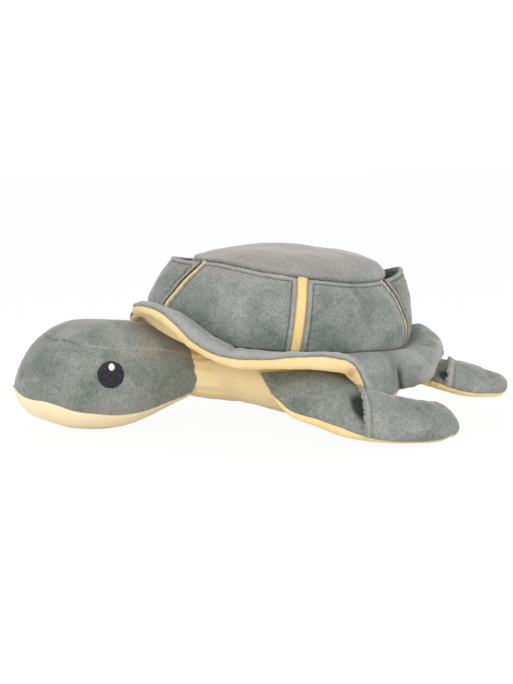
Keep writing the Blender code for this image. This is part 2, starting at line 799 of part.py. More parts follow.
def eye_frame(form, side):
    """The eye's middle on the head's skin, and its outward axis; side is -1 on the left."""
    tables = list(zip(*head_ring_shares))
    k = max(i for i, along in enumerate(tables[0]) if along <= EYE_ALONG_SHARE)
    t = (EYE_ALONG_SHARE - tables[0][k]) / (tables[0][k + 1] - tables[0][k])
    top, bottom, width = (
        column[k] + (column[k + 1] - column[k]) * t for column in tables[1:4]
    )
    centre = head_place(EYE_ALONG_SHARE, (top + bottom) / 2)
    half_height = HEAD_HEIGHT * (top - bottom) / 2
    half_width = HEAD_WIDTH / 2 * width
    on_skin = Vector(
        (0, side * half_width * math.cos(EYE_ANGLE), half_height * math.sin(EYE_ANGLE))
    )
    outward = Vector(
        (0, side * math.cos(EYE_ANGLE) / half_width, math.sin(EYE_ANGLE) / half_height)
    ).normalized()
    return centre + on_skin, outward


def disc(name, centre, axis, diameter, sides, height, depth, material):
    """A short round bar from depth below the centre to height above it."""
    mesh_data = bmesh.new()
    bmesh.ops.create_cone(
        mesh_data,
        cap_ends=True,
        segments=sides,
        radius1=diameter / 2,
        radius2=diameter / 2,
        depth=height + depth,
    )
    turn = Vector((0, 0, 1)).rotation_difference(axis).to_matrix().to_4x4()
    middle = centre + axis * (height - depth) / 2
    bmesh.ops.transform(mesh_data, matrix=Matrix.Translation(middle) @ turn, verts=mesh_data.verts)
    return make_object(name, mesh_data, material)


def cut_from(piece, cutter):
    cut = piece.modifiers.new("cut_" + cutter.name, "BOOLEAN")
    cut.operation = "DIFFERENCE"
    cut.object = cutter


def hide_helper(helper):
    helper.hide_render = True
    helper.display_type = "WIRE"


def build_eyes(form, black, white):
    head_cutter = form.solid("head_cutter", -PIECE_GAP, white)
    hide_helper(head_cutter)
    for label, side in (("left", -1), ("right", 1)):
        centre, outward = eye_frame(form, side)
        up = (Vector((0, 0, 1)) - outward * outward.z).normalized()
        glint_centre = centre + up * GLINT_RISE + Vector((GLINT_SHIFT, 0, 0))
        stand = PIECE_GAP + EMBROIDERY_HEIGHT
        eye = disc(f"eye_{label}", centre, outward, EYE_DIAMETER, EYE_SIDES, stand, EYE_DEPTH, black)
        glint = disc(
            f"eye_glint_{label}",
            glint_centre,
            outward,
            GLINT_DIAMETER,
            GLINT_SIDES,
            stand,
            EYE_DEPTH,
            white,
        )
        hole = disc(
            f"glint_hole_{label}",
            glint_centre,
            outward,
            GLINT_DIAMETER + 2 * PIECE_GAP,
            GLINT_SIDES,
            EYE_DEPTH,
            2 * EYE_DEPTH,
            white,
        )
        hide_helper(hole)
        cut_from(eye, head_cutter)
        cut_from(eye, hole)
        cut_from(glint, head_cutter)


# Neck

def neck_ring(inset, row_share, middle):
    """A ring of the sleeve, from the head's flat back to the torso's rounded front."""
    ring = []
    start = head_back_x() + PIECE_GAP
    for k in range(NECK_SIDES):
        angle = 2 * math.pi * k / NECK_SIDES
        y = (NECK_WIDTH / 2 - inset) * math.cos(angle)
        z = middle + (NECK_HEIGHT / 2 - inset) * math.sin(angle)
        end = torso_front_x(y, z) - 2 * PIECE_GAP
        ring.append(Vector((start + (end - start) * row_share, y, z)))
    return ring


def build_neck(cream, fill):
    last = head_ring_shares[-1]
    middle = head_place(1.0, (last[1] + last[2]) / 2).z
    shares = [k / NECK_ROWS for k in range(NECK_ROWS + 1)]
    outer = [neck_ring(0, share, middle) for share in shares]
    inner = [neck_ring(PLUSH_THICKNESS, share, middle) for share in shares]
    thick_sheet("neck_sleeve", outer, inner, cream, closed_columns=True)
    core = [neck_ring(PLUSH_THICKNESS + PIECE_GAP, share, middle) for share in (0, 1)]
    # The stuffing's rear end is flat, just ahead of the chest's foremost point
    foremost = min(torso_front_x(0, middle + rise) for rise in (0, NECK_HEIGHT / 2))
    for place in core[-1]:
        place.x = foremost - 2 * PIECE_GAP
    mesh_data, _, _ = closed_body(core)
    make_object("neck_stuffing", mesh_data, fill)


# Flippers

def mirrored(places):
    return [Vector((place.x, -place.y, place.z)) for place in places]


def flipper_section(inner_edge, outer_edge, half_thickness, inset):
    """A lens through a flipper, from its inner edge over the top to its outer edge and back."""
    centre = (inner_edge + outer_edge) / 2
    across = outer_edge - centre
    half_width = across.length
    across = across.normalized()
    along = Vector((1, 0, 0))
    upward = across.cross(along)
    if upward.z < 0:
        upward = -upward
    upward = upward.normalized()
    half_width = max(half_width - inset * EDGE_INSET_RATIO, half_width * LEAST_WIDTH_SHARE)
    half_thickness = max(half_thickness - inset, half_thickness * LEAST_THICKNESS_SHARE)
    section = []
    for k in range(FLIPPER_SIDES):
        angle = math.pi - 2 * math.pi * k / FLIPPER_SIDES
        place = centre + across * half_width * math.cos(angle)
        place += upward * half_thickness * math.sin(angle)
        section.append(place)
    return section


def above_floor(rows, depth):
    """Flattens what would hang lower than the floor."""
    least = FLIPPER_FLOOR_CLEARANCE + depth
    return [
        [Vector((place.x, place.y, max(place.z, least))) for place in row] for row in rows
    ]


def front_hinge_place():
    """The left front flipper's hinge, beside the torso's widest line."""
    hinge_y = -TORSO_WIDTH / 2 - FRONT_HINGE_CLEARANCE
    return Vector((FRONT_HINGE_X, hinge_y, FRONT_HINGE_HEIGHT))


def front_flipper_rails(spread, draw_in):
    """The flipper's two edges; spread swings the tip out and draw_in shortens its reach."""
    hinge = front_hinge_place()
    rails = []
    for row in front_flipper_shares:
        edges = []
        for along, out, down in (row[0:3], row[3:6]):
            bend = max(along, 0.0) ** FLIPPER_BEND_POWER
            edges.append(
                Vector(
                    (
                        hinge.x + along * FRONT_FLIPPER_LENGTH - draw_in * bend,
                        hinge.y - out * FRONT_FLIPPER_SPREAD - spread * bend,
                        hinge.z - down * FRONT_FLIPPER_DROP,
                    )
                )
            )
        rails.append((edges[0], edges[1], row[6] * FRONT_FLIPPER_THICKNESS / 2))
    return rails


def rear_hinge_point():
    on_torso = ellipse_point(-REAR_HINGE_ANGLE, TORSO_LENGTH / 2, TORSO_WIDTH / 2)
    normal = Vector((on_torso.x / TORSO_LENGTH**2, on_torso.y / TORSO_WIDTH**2, 0)).normalized()
    place = on_torso + normal * REAR_HINGE_CLEARANCE
    place.x += TORSO_CENTRE_X
    place.z = REAR_HINGE_HEIGHT
    return place, normal


def rear_flipper_rails(droop):
    hinge, normal = rear_hinge_point()
    outward = Matrix.Rotation(REAR_FLIPPER_SPLAY, 3, "Z") @ normal
    level_inboard = Vector((-normal.y, normal.x, 0))
    droop_turn = Matrix.Rotation(droop, 3, level_inboard)
    rails = []
    for along, inner, outer, thick in rear_flipper_shares:
        sink = Vector((0, 0, -REAR_FLIPPER_DROP * along))
        inboard = Matrix.Rotation(REAR_FLIPPER_ROLL, 3, outward) @ level_inboard
        edges = []
        for across in (inner, outer):
            local = outward * along * REAR_FLIPPER_LENGTH + inboard * across * REAR_FLIPPER_WIDTH
            edges.append(hinge + droop_turn @ (local + sink))
        rails.append((edges[0], edges[1], thick * REAR_FLIPPER_THICKNESS / 2))
    return rails


def build_flipper(name, rails, pocket, right_side, materials):
    """Sews one flipper: an upper and an underside round a stuffing, and a patch pocket."""
    mouth, seam, gape = pocket
    grey, cream, fill = materials

    def rows_at(inset):
        rows = above_floor([flipper_section(*rail, inset) for rail in rails], inset)
        return [mirrored(row) for row in rows] if right_side else rows

    outer = rows_at(0)
    inner = rows_at(FLIPPER_SKIN)
    top = range(seam + 1)
    under = [k % FLIPPER_SIDES for k in range(seam, FLIPPER_SIDES + 1)]
    for part, columns, material in (("upper", top, grey), ("underside", under, cream)):
        layers = []
        for rows in (outer, inner):
            picked = [[row[j] for j in columns] for row in rows]
            layers.append(pulled_in(picked, SEAM_GAP, ends="none"))
        thick_sheet(f"{name}_{part}", layers[0], layers[1], material)

    core = rows_at(FLIPPER_SKIN + PIECE_GAP)[1:-1]
    mesh_data, _, _ = closed_body(core)
    make_object(f"{name}_stuffing", mesh_data, fill)

    pocket_rows = [[row[j] for j in top] for row in outer[mouth:]]
    layers = []
    for lift in (PIECE_GAP, PIECE_GAP + FLIPPER_SKIN):
        moved = []
        for i, row in enumerate(pocket_rows):
            open_share = max(0.0, 1 - i / POCKET_LIFTED_ROWS)
            across = row[-1] - row[0]
            ahead = pocket_rows[min(i + 1, len(pocket_rows) - 1)]
            behind = pocket_rows[max(i - 1, 0)]
            along = ahead[seam // 2] - behind[seam // 2]
            upward = across.cross(along)
            if upward.z < 0:
                upward = -upward
            upward = upward.normalized()
            moved_row = []
            for j, place in enumerate(row):
                place_share = (j / seam) ** POCKET_ARCH_SKEW
                arch_share = abs(math.sin(math.pi * place_share)) ** POCKET_ARCH_POWER
                rise = lift + gape * open_share * arch_share
                moved_row.append(place + upward * rise)
            moved.append(moved_row)
        layers.append(pulled_in(moved, POCKET_HEM_INSET, ends="none"))
    thick_sheet(f"{name}_pocket", layers[1], layers[0], grey)


# Joints

def make_pivot(name, place, parent=None):
    """An empty on a joint's axis, which carries the pieces that the joint moves."""
    pivot = bpy.data.objects.new(name, None)
    pivot.empty_display_size = PIVOT_SIZE
    bpy.context.scene.collection.objects.link(pivot)
    pivot.location = place
    if parent:
        pivot.parent = parent
        pivot.location = place - parent.location
    return pivot


def hang(pivot, place, names):
    """Parents pieces to a pivot without moving them."""
    for name in names:
        piece = bpy.data.objects[name]
        piece.parent = pivot
        piece.matrix_parent_inverse = Matrix.Translation(-place)


def neck_pivot_place():
    last = head_ring_shares[-1]
    middle = head_place(1.0, (last[1] + last[2]) / 2)
    return middle + Vector((NECK_LENGTH / 2, 0, 0))


def add_pivots():
    neck = neck_pivot_place()
    turn = make_pivot("head_turn_pivot", neck)
    nod = make_pivot("head_nod_pivot", neck, turn)
    hang(turn, neck, ("neck_sleeve", "neck_stuffing"))
    head_pieces = ["head_stuffing", "head_crown", "head_chin", "head_side_left", "head_side_right"]
    for label in ("left", "right"):
        head_pieces += [f"eye_{label}", f"eye_glint_{label}"]
        head_pieces.append(f"glint_hole_{label}")
    head_pieces.append("head_cutter")
    hang(nod, neck, head_pieces)
    front = front_hinge_place()
    rear, _ = rear_hinge_point()
    for label in ("left", "right"):
        for limb, place in (("front", front), ("rear", rear)):
            hinge = mirrored([place])[0] if label == "right" else place
            flipper = f"{limb}_flipper_{label}"
            pivot = make_pivot(f"{flipper}_hinge", hinge)
            parts = ("stuffing", "underside", "upper", "pocket")
            hang(pivot, hinge, [f"{flipper}_{part}" for part in parts])


def main():
    clear_scene()
    grey = make_material("grey_plush", GREY_GREEN, PLUSH_ROUGHNESS)
    cream = make_material("cream_plush", CREAM, PLUSH_ROUGHNESS)
    fill = make_material("fibre_fill", FILL_WHITE, FILL_ROUGHNESS)
    black = make_material("black_thread", EYE_BLACK, THREAD_ROUGHNESS)
    white = make_material("white_thread", GLINT_WHITE, THREAD_ROUGHNESS)
    build_torso(cream, fill)
    build_shell(grey, cream, fill)
    build_brim(grey, cream)
    head_form = build_head(grey, cream, fill)
    build_eyes(head_form, black, white)
    build_neck(cream, fill)
    plush = (grey, cream, fill)
    front_pocket = (POCKET_MOUTH_ROWS, FRONT_SEAM_COLUMNS, FRONT_POCKET_GAPE)
    rear_pocket = (POCKET_MOUTH_ROWS, REAR_SEAM_COLUMNS, REAR_POCKET_GAPE)
    left_front = front_flipper_rails(0, 0)
    right_front = front_flipper_rails(RIGHT_FRONT_SPREAD, RIGHT_FRONT_DRAW_IN)
    build_flipper("front_flipper_left", left_front, front_pocket, False, plush)
    build_flipper("front_flipper_right", right_front, front_pocket, True, plush)
    build_flipper("rear_flipper_left", rear_flipper_rails(0), rear_pocket, False, plush)
    right_rear = rear_flipper_rails(RIGHT_REAR_DROOP)
    build_flipper("rear_flipper_right", right_rear, rear_pocket, True, plush)
    add_pivots()


main()
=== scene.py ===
import json
import math

import bpy
import numpy as np
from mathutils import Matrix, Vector

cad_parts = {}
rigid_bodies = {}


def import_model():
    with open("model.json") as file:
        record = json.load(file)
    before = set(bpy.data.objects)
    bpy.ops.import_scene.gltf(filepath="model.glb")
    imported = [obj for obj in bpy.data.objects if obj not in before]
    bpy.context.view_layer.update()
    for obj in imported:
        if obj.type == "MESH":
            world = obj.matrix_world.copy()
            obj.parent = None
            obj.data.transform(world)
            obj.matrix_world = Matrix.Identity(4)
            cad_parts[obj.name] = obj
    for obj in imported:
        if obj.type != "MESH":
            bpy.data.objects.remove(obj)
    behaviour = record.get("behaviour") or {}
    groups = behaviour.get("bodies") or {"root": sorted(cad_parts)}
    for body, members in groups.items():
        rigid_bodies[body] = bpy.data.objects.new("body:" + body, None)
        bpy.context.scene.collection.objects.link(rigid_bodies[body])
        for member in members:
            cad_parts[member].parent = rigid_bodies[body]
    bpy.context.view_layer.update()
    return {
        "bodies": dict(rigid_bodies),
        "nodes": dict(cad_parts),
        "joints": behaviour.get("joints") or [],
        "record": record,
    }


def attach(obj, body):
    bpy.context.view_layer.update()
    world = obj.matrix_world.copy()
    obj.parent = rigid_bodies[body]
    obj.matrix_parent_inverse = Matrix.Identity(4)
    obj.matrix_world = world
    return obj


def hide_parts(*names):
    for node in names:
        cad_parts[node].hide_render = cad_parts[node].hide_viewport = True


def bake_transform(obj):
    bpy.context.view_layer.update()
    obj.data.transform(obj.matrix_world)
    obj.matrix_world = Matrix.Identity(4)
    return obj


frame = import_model()
print("frame loaded,", len(frame["nodes"]), "solids")

mm = 0.001
fullTurn = 2 * math.pi
tiny = 1e-12  # keeps a division away from zero


# Cubic curve through values at knots. Each knot's slope is the mean of the slopes beside it,
# weighted by the other side's spacing, so an uneven table still gives a smooth line.
def curveThrough(knots, values, at):
    knots = np.asarray(knots, float)
    values = np.asarray(values, float)
    at = np.asarray(at, float)
    pad = (Ellipsis,) + (None,) * (values.ndim - 1)
    gaps = np.diff(knots)
    rises = np.diff(values, axis=0) / gaps[pad]
    slopes = np.empty_like(values)
    slopes[0], slopes[-1] = rises[0], rises[-1]
    total = (gaps[:-1] + gaps[1:])[pad]
    slopes[1:-1] = (rises[:-1] * gaps[1:][pad] + rises[1:] * gaps[:-1][pad]) / total
    k = np.clip(np.searchsorted(knots, at, side="right") - 1, 0, len(gaps) - 1)
    span = gaps[k][pad]
    t = ((at - knots[k]) / gaps[k])[pad]
    return (
        (2 * t**3 - 3 * t**2 + 1) * values[k]
        + (t**3 - 2 * t**2 + t) * span * slopes[k]
        + (3 * t**2 - 2 * t**3) * values[k + 1]
        + (t**3 - t**2) * span * slopes[k + 1]
    )


# The same curve through a table of bearings in degrees and values, closed over 360 degrees.
def ringThrough(table, at):
    knots = np.concatenate([table[-2:, 0] - 360, table[:, 0], table[:2, 0] + 360])
    around = np.concatenate([table[-2:, 1:], table[:, 1:], table[:2, 1:]])
    return curveThrough(knots, around, np.mod(at, 360))


# Steps from 0 to 1 that crowd towards both ends, by taking a sine wave away from even steps.
def crowded(count, crowding):
    t = np.linspace(0, 1, count)
    return t - crowding * np.sin(fullTurn * t) / fullTurn


# Even angles round a full turn, from 0 to the one before the start.
def roundTurn(count):
    return np.linspace(0, fullTurn, count, endpoint=False)


# Vectors divided by their lengths.
def unit(vectors):
    return vectors / np.maximum(np.linalg.norm(vectors, axis=-1, keepdims=True), tiny)


# Smooth hill round zero, e to the minus (x / w) squared.
def hill(x, w):
    return np.exp(-((x / w) ** 2))


# What is left of 1 after x, e to the minus x / reach.
def fading(x, reach):
    return np.exp(-x / reach)


# Smooth step from 0 to 1 as x goes from a to b, 3 t squared less 2 t cubed.
def ease(x, a, b):
    t = np.clip((x - a) / (b - a), 0, 1)
    return t * t * (3 - 2 * t)


# A sine wave over a length.
def wave(x, length, phase=0):
    return np.sin(x * fullTurn / length + phase)


# Soft lumps: the mean of several sine waves through space, each in its own seeded direction.
def lumps(points, size, seed):
    waves, gain, shortest, longest = 9, 1.6, 0.75, 1.35
    dice = np.random.default_rng(seed)
    ways = dice.normal(size=(waves, 3))
    ways /= np.linalg.norm(ways, axis=1)[:, None]
    ways *= fullTurn / (size * dice.uniform(shortest, longest, waves))[:, None]
    turns = dice.uniform(0, fullTurn, waves)
    return np.sin(points @ ways.T + turns).mean(axis=-1) * gain


# A sum of soft lumps, each row giving its depth, size and seed.
def unevenness(points, *rows):
    return sum(depth * lumps(points, size, seed) for depth, size, seed in rows)


# Outward unit normals of a grid of points: the cross product of its two directions, turned away
# from a middle point. A row that has shrunk to a point takes the mean normal of the next row.
def normalsOf(grid, middle, wrap=False):
    along = np.gradient(grid, axis=0)
    if wrap:
        across = np.roll(grid, -1, 1) - np.roll(grid, 1, 1)
    else:
        across = np.gradient(grid, axis=1)
    normals = np.cross(along, across)
    size = np.linalg.norm(normals, axis=2, keepdims=True)
    normals = normals / np.maximum(size, 1e-15)
    if np.mean(np.sum(normals * (grid - np.asarray(middle)), axis=2)) < 0:
        normals = -normals
    for end, beside in ((0, 1), (-1, -2)):
        if size[end].max() < tiny:
            normals[end] = normals[beside].mean(axis=0)
    return normals


# Normals of a grid whose middle one looks up, where facing is 1, or down, where it is -1.
def normalsFacing(grid, middle, facing=1):
    normals = normalsOf(grid, middle)
    centre = normals[grid.shape[0] // 2, grid.shape[1] // 2, 2]
    return normals if centre * facing > 0 else -normals


# Distances over the surface from each point of a grid to its four borders: the first and last
# row, then the first and last column.
def borderDistances(grid):
    across = np.linalg.norm(np.diff(grid, axis=1), axis=2)
    along = np.linalg.norm(np.diff(grid, axis=0), axis=2)
    left = np.pad(np.cumsum(across, axis=1), ((0, 0), (1, 0)))
    low = np.pad(np.cumsum(along, axis=0), ((1, 0), (0, 0)))
    return low, low[-1:] - low, left, left[:, -1:] - left


# The lesser of two distances with a soft corner between them, from the root of a sum of squares.
def softLeast(a, b, softness=1.5 * mm):
    return np.maximum((a + b - np.sqrt((a - b) ** 2 + softness**2)) / 2 + softness / 10, 0)


# How far a sewn edge has risen at a distance from its seam: a quarter round of radius r.
def turnedEdge(distance, r):
    t = np.clip(distance / r, 0, 1)
    return np.sqrt(np.maximum(1 - (1 - t) ** 2, 0))


# The length of a line from its start to each of its points.
def lengthAlong(line):
    return np.pad(np.cumsum(np.linalg.norm(np.diff(line, axis=0), axis=1)), (1, 0))


# Reads a row of vectors at given lengths along their line, straight between its points.
def readAlong(at, length, vectors):
    return np.stack([np.interp(at, length, vectors[:, c]) for c in range(3)], -1)


# Reads a grid of points at fractional rows and columns, straight between its points.
def readGrid(grid, rows, columns):
    i = np.clip(np.floor(rows).astype(int), 0, grid.shape[0] - 2)
    j = np.clip(np.floor(columns).astype(int), 0, grid.shape[1] - 2)
    s, t = (rows - i)[:, None], (columns - j)[:, None]
    low = grid[i, j] * (1 - t) + grid[i, j + 1] * t
    high = grid[i + 1, j] * (1 - t) + grid[i + 1, j + 1] * t
    return low * (1 - s) + high * s


# The quads of a grid of points: each joins a point to the next in its row and the two above.
def quadGrid(rows, columns, wrap):
    i = np.arange(rows - 1)[:, None]
    j = np.arange(columns if wrap else columns - 1)[None, :]
    k = (j + 1) % columns
    corners = [i * columns + j, i * columns + k, (i + 1) * columns + k, (i + 1) * columns + j]
    return np.stack([np.broadcast_to(c, (rows - 1, j.size)) for c in corners], -1).reshape(-1, 4)


# Puts points and faces into a mesh. Faces that point inwards, by the signed volume, are turned.
def putMesh(name, points, quads, triangles=None, marks=None):
    points = np.asarray(points, float).reshape(-1, 3)
    triangles = np.zeros((0, 3), int) if triangles is None else triangles
    halves = np.concatenate([quads[:, [0, 1, 2]], quads[:, [0, 2, 3]], triangles])
    a, b, c = (points[halves[:, n]] for n in range(3))
    if np.sum(np.einsum("ij,ij->i", a, np.cross(b, c))) < 0:
        quads, triangles = quads[:, ::-1], triangles[:, ::-1]
    corners = np.concatenate([quads.ravel(), triangles.ravel()])
    sizes = np.concatenate([np.full(len(quads), 4), np.full(len(triangles), 3)])
    starts = np.concatenate([[0], np.cumsum(sizes)[:-1]])
    mesh = bpy.data.meshes.new(name)
    mesh.vertices.add(len(points))
    mesh.vertices.foreach_set("co", points.ravel())
    mesh.loops.add(len(corners))
    mesh.loops.foreach_set("vertex_index", corners)
    mesh.polygons.add(len(sizes))
    mesh.polygons.foreach_set("loop_start", starts)
    mesh.polygons.foreach_set("loop_total", sizes)
    mesh.update(calc_edges=True)
    mesh.validate()
    for key, values in (marks or {}).items():
        attribute = mesh.attributes.new(key, "FLOAT", "POINT")
        attribute.data.foreach_set("value", np.asarray(values, np.float32).ravel())
    mesh.shade_smooth()
    piece = bpy.data.objects.new(name, mesh)
    bpy.context.scene.collection.objects.link(piece)
    return piece


# A sewn layer: an outer and an inner sheet with a wall all round between their borders.
def layer(name, outer, inner, wrap=False, marks=None):
    rows, columns = outer.shape[:2]
    count = rows * columns
    sheet = quadGrid(rows, columns, wrap)
    faces = [sheet, sheet[:, ::-1] + count]
    index = np.arange(count).reshape(rows, columns)
    if wrap:
        rims = [index[0], index[-1][::-1]]
    else:
        loop = [index[0, :-1], index[:-1, -1], index[-1, :0:-1], index[:0:-1, 0]]
        rims = [np.concatenate(loop)]
    for rim in rims:
        ahead = np.roll(rim, -1)
        faces.append(np.stack([ahead, rim, rim + count, ahead + count], -1))
    doubled = {key: np.concatenate([v.ravel(), v.ravel()]) for key, v in (marks or {}).items()}
    points = np.concatenate([outer.reshape(-1, 3), inner.reshape(-1, 3)])
    return putMesh(name, points, np.concatenate(faces), None, doubled)


# A filled body: rings closed at both ends with a fan to a point, the end ring's middle if no
# other is given.
def body(name, rings, firstPole=None, marks=None):
    rows, columns = rings.shape[:2]
    count = rows * columns
    first = rings[0].mean(axis=0) if firstPole is None else firstPole
    index = np.arange(columns)
    ahead = (index + 1) % columns
    end = (rows - 1) * columns
    firstFan = np.stack([ahead, index, np.full(columns, count)], -1)
    lastFan = np.stack([end + index, end + ahead, np.full(columns, count + 1)], -1)
    points = np.concatenate([rings.reshape(-1, 3), [first], [rings[-1].mean(axis=0)]])
    padded = {
        key: np.concatenate([v.ravel(), [v[0].mean()], [v[-1].mean()]])
        for key, v in (marks or {}).items()
    }
    fans = np.concatenate([firstFan, lastFan])
    return putMesh(name, points, quadGrid(rows, columns, True), fans, padded)


# A short stitch or tuft: a six-sided rod along X that thins at its ends, 1 long and 1 thick.
def stitchShape():
    along = np.array([-0.5, -0.38, 0.0, 0.38, 0.5])
    girth = np.array([0.15, 0.42, 0.5, 0.42, 0.15])
    sides = 6
    turn = roundTurn(sides)
    ring = np.stack([np.zeros(sides), np.cos(turn), np.sin(turn)], -1)
    rings = ring[None] * girth[:, None, None]
    rings[:, :, 0] = along[:, None]
    near = np.array([[3, 2, 1, 0], [5, 4, 3, 0]])
    far = np.array([[0, 1, 2, 3], [3, 4, 5, 0]]) + (len(along) - 1) * sides
    return rings.reshape(-1, 3), np.concatenate([quadGrid(len(along), sides, True), near, far])


# Repeats the stitch at many places. Each copy's own axes are given as rows of frames.
def repeated(name, places, frames, pale=0.0):
    shape, quads = stitchShape()
    points = np.einsum("vk,nkc->nvc", shape, frames) + places[:, None, :]
    offsets = np.arange(len(places))[:, None, None] * len(shape)
    marks = {"pale": np.full(points.shape[:2], pale)}
    return putMesh(name, points, (quads[None] + offsets).reshape(-1, 4), None, marks)


# Stitches along a line on a surface: even steps over its length, each laid along the line.
def stitchRow(name, line, normals, pitch, size, thick, lift):
    length = lengthAlong(line)
    count = max(int(length[-1] / pitch), 2)
    at = (np.arange(count) + 0.5) * length[-1] / count
    places = readAlong(at, length, line)
    up = readAlong(at, length, normals)
    probe = 0.3 * mm
    forward = unit(readAlong(at + probe, length, line) - readAlong(at - probe, length, line))
    side = unit(np.cross(up, forward))
    up = np.cross(forward, side)
    frames = np.stack([forward * size, side * thick, up * thick], 1)
    return repeated(name, places + up * lift, frames)


# Wraps a node's socket, so that sums on it add Math nodes. On its own it holds only the tree.
class Wire:
    def __init__(self, tree, socket=None):
        self.tree = tree
        self.socket = socket

    # adds a node with its settings and input values, and gives a wire on one of its outputs
    def node(self, kind, settings=None, values=None, output=0):
        made = self.tree.nodes.new(kind)
        for key, value in (settings or {}).items():
            setattr(made, key, value)
        for key, value in (values or {}).items():
            if isinstance(value, Wire):
                self.tree.links.new(value.socket, made.inputs[key])
            else:
                made.inputs[key].default_value = value
        return Wire(self.tree, made.outputs[output])

    # a Math node on two values
    def sum(self, operation, *parts):
        return self.node("ShaderNodeMath", {"operation": operation}, dict(enumerate(parts)))

    def __add__(self, other):
        return self.sum("ADD", self, other)

    def __mul__(self, other):
        return self.sum("MULTIPLY", self, other)

    def __sub__(self, other):
        return self.sum("SUBTRACT", self, other)

    def __rsub__(self, other):
        return self.sum("SUBTRACT", other, self)

    def __truediv__(self, other):
        return self.sum("DIVIDE", self, other)

    __radd__ = __add__
    __rmul__ = __mul__

    # kept from 0 to 1
    def clipped(self):
        settings = {"operation": "ADD", "use_clamp": True}
        return self.node("ShaderNodeMath", settings, {0: self, 1: 0.0})

    # stretched about its middle, which is near one half for noise, and kept from 0 to 1
    def stretched(self, by):
        return ((self - 0.5) * by + 0.5).clipped()

    # noise whose features are about one size across
    def noise(self, place, size, detail=2.0, rough=0.5, twist=0.0):
        values = {"Vector": place, "Scale": 1 / size, "Detail": detail, "Roughness": rough}
        return self.node("ShaderNodeTexNoise", None, dict(values, Distortion=twist))

    # the share of the way from one colour to another
    def mixed(self, share, low, high, blend="MIX"):
        settings = {"data_type": "RGBA", "blend_type": blend}
        return self.node("ShaderNodeMix", settings, {0: share, 6: low, 7: high}, 2)

    # a mesh's own values at its points
    def mark(self, name):
        return self.node("ShaderNodeAttribute", {"attribute_name": name}, None, 2)

    # a blend of two shaders, by a share
    def mixedShader(self, share, low, high):
        return self.node("ShaderNodeMixShader", None, {0: share, 1: low, 2: high})


# Adds a material. Gives its shader, a wire on its tree and a wire on its Object coordinates.
def newMaterial(name):
    material = bpy.data.materials.new(name)
    material.use_nodes = True
    root = Wire(material.node_tree)
    place = root.node("ShaderNodeTexCoord", None, None, 3)
    return material, root.tree.nodes["Principled BSDF"], root, place


# Joins a colour and a bumpy height to a shader, and sets its other inputs.
def finishShader(root, shader, colour, height, strength, depth, inputs):
    values = {"Strength": strength, "Distance": depth, "Height": height}
    bump = root.node("ShaderNodeBump", None, values)
    root.tree.links.new(colour.socket, shader.inputs["Base Color"])
    root.tree.links.new(bump.socket, shader.inputs["Normal"])
    for key, value in inputs.items():
        shader.inputs[key].default_value = value


# Short-pile plush. Large soft patches show where the pile lies one way or the other, streaks run
# through them, and a fine grain is the pile's tips. Seams are darker, where the pile parts; the
# same seam mark paints shade into creases, gaps and hollows. The pale mark paints highlights and
# light, and higher surfaces get a painted sheen.
def plush(name, look):
    material, shader, root, place = newMaterial(name)
    patches = root.noise(place, look["patchSize"], 3.0, 0.55, 0.6).stretched(look["patchContrast"])
    strokes = root.noise(place, look["strokeSize"], 3.0, 0.6, 1.2).stretched(2.2)
    nap = (patches * 0.66 + strokes * 0.34).clipped()
    colour = root.mixed(nap, look["dark"], look["light"])
    # painted sheen: surfaces above the start height are tinted towards a lighter, warmer grey, most
    # where the nap is dark
    if "topSheen" in look:
        height = root.node("ShaderNodeSeparateXYZ", None, {0: place}, 2)
        start, end = look["topSheenFrom"]
        rising = ((height - start) / (end - start)).clipped()
        colour = root.mixed(rising * (0.45 + 0.55 * (1 - nap)).clipped(), colour, look["topSheen"])
    values = {0: place, 1: look["combed"]}
    combed = root.node("ShaderNodeVectorMath", {"operation": "MULTIPLY"}, values)
    grain = root.noise(combed, look["grainSize"], 2.0, 0.6).stretched(look["grainContrast"])
    speck = root.mixed(grain, look["grainDark"], look["grainLight"])
    colour = root.mixed(look["grainShare"], colour, speck, "MULTIPLY")
    # pale mark: painted highlight on hems and ridges, and painted light on the chin, chest and neck
    colour = root.mixed((root.mark("pale") * 0.5).clipped(), colour, look["pale"])
    # seam mark: darker seams, and painted shade in creases, gaps and hollows
    colour = root.mixed((root.mark("seam") * look["seamShade"]).clipped(), colour, look["deep"])
    # where the band shows no strip: its grey lining, painted darker than the plush as the shade
    # inside the pockets
    if "hidden" in look:
        colour = root.mixed(root.mark("strip").clipped(), look["hidden"], colour)
    tips = root.noise(place, look["grainSize"] * 1.3, 3.0, 0.65)
    tufts = root.noise(place, look["grainSize"] * 5, 2.0, 0.5, 0.8)
    height = tips * 0.6 + tufts * 0.4
    finishShader(root, shader, colour, height, look["bump"], look["bumpDepth"], look["inputs"])
    return material


clothInputs = {"Roughness": 0.88, "Specular IOR Level": 0.18, "Sheen Roughness": 0.42}
greyLook = {
    "dark": (0.118, 0.148, 0.127, 1),
    "light": (0.340, 0.341, 0.326, 1),
    "deep": (0.040, 0.052, 0.044, 1),
    "pale": (0.400, 0.395, 0.375, 1),
    "grainDark": (0.50, 0.52, 0.50, 1),
    "grainLight": (1.42, 1.40, 1.38, 1),
    "grainShare": 0.7,
    "grainContrast": 2.1,
    "grainSize": 1.05 * mm,
    "combed": (1.0, 1.0, 0.55),
    "patchSize": 33 * mm,
    "patchContrast": 2.8,
    "strokeSize": 7 * mm,
    # painted sheen on the upper surfaces, and the heights over which it comes in
    "topSheen": (0.298, 0.268, 0.258, 1),
    "topSheenFrom": (0.113, 0.126),
    "seamShade": 0.7,
    "bump": 0.7,
    "bumpDepth": 0.7 * mm,
    "inputs": dict(clothInputs, **{"Sheen Weight": 0.55, "Sheen Tint": (0.92, 0.88, 0.87, 1)}),
}
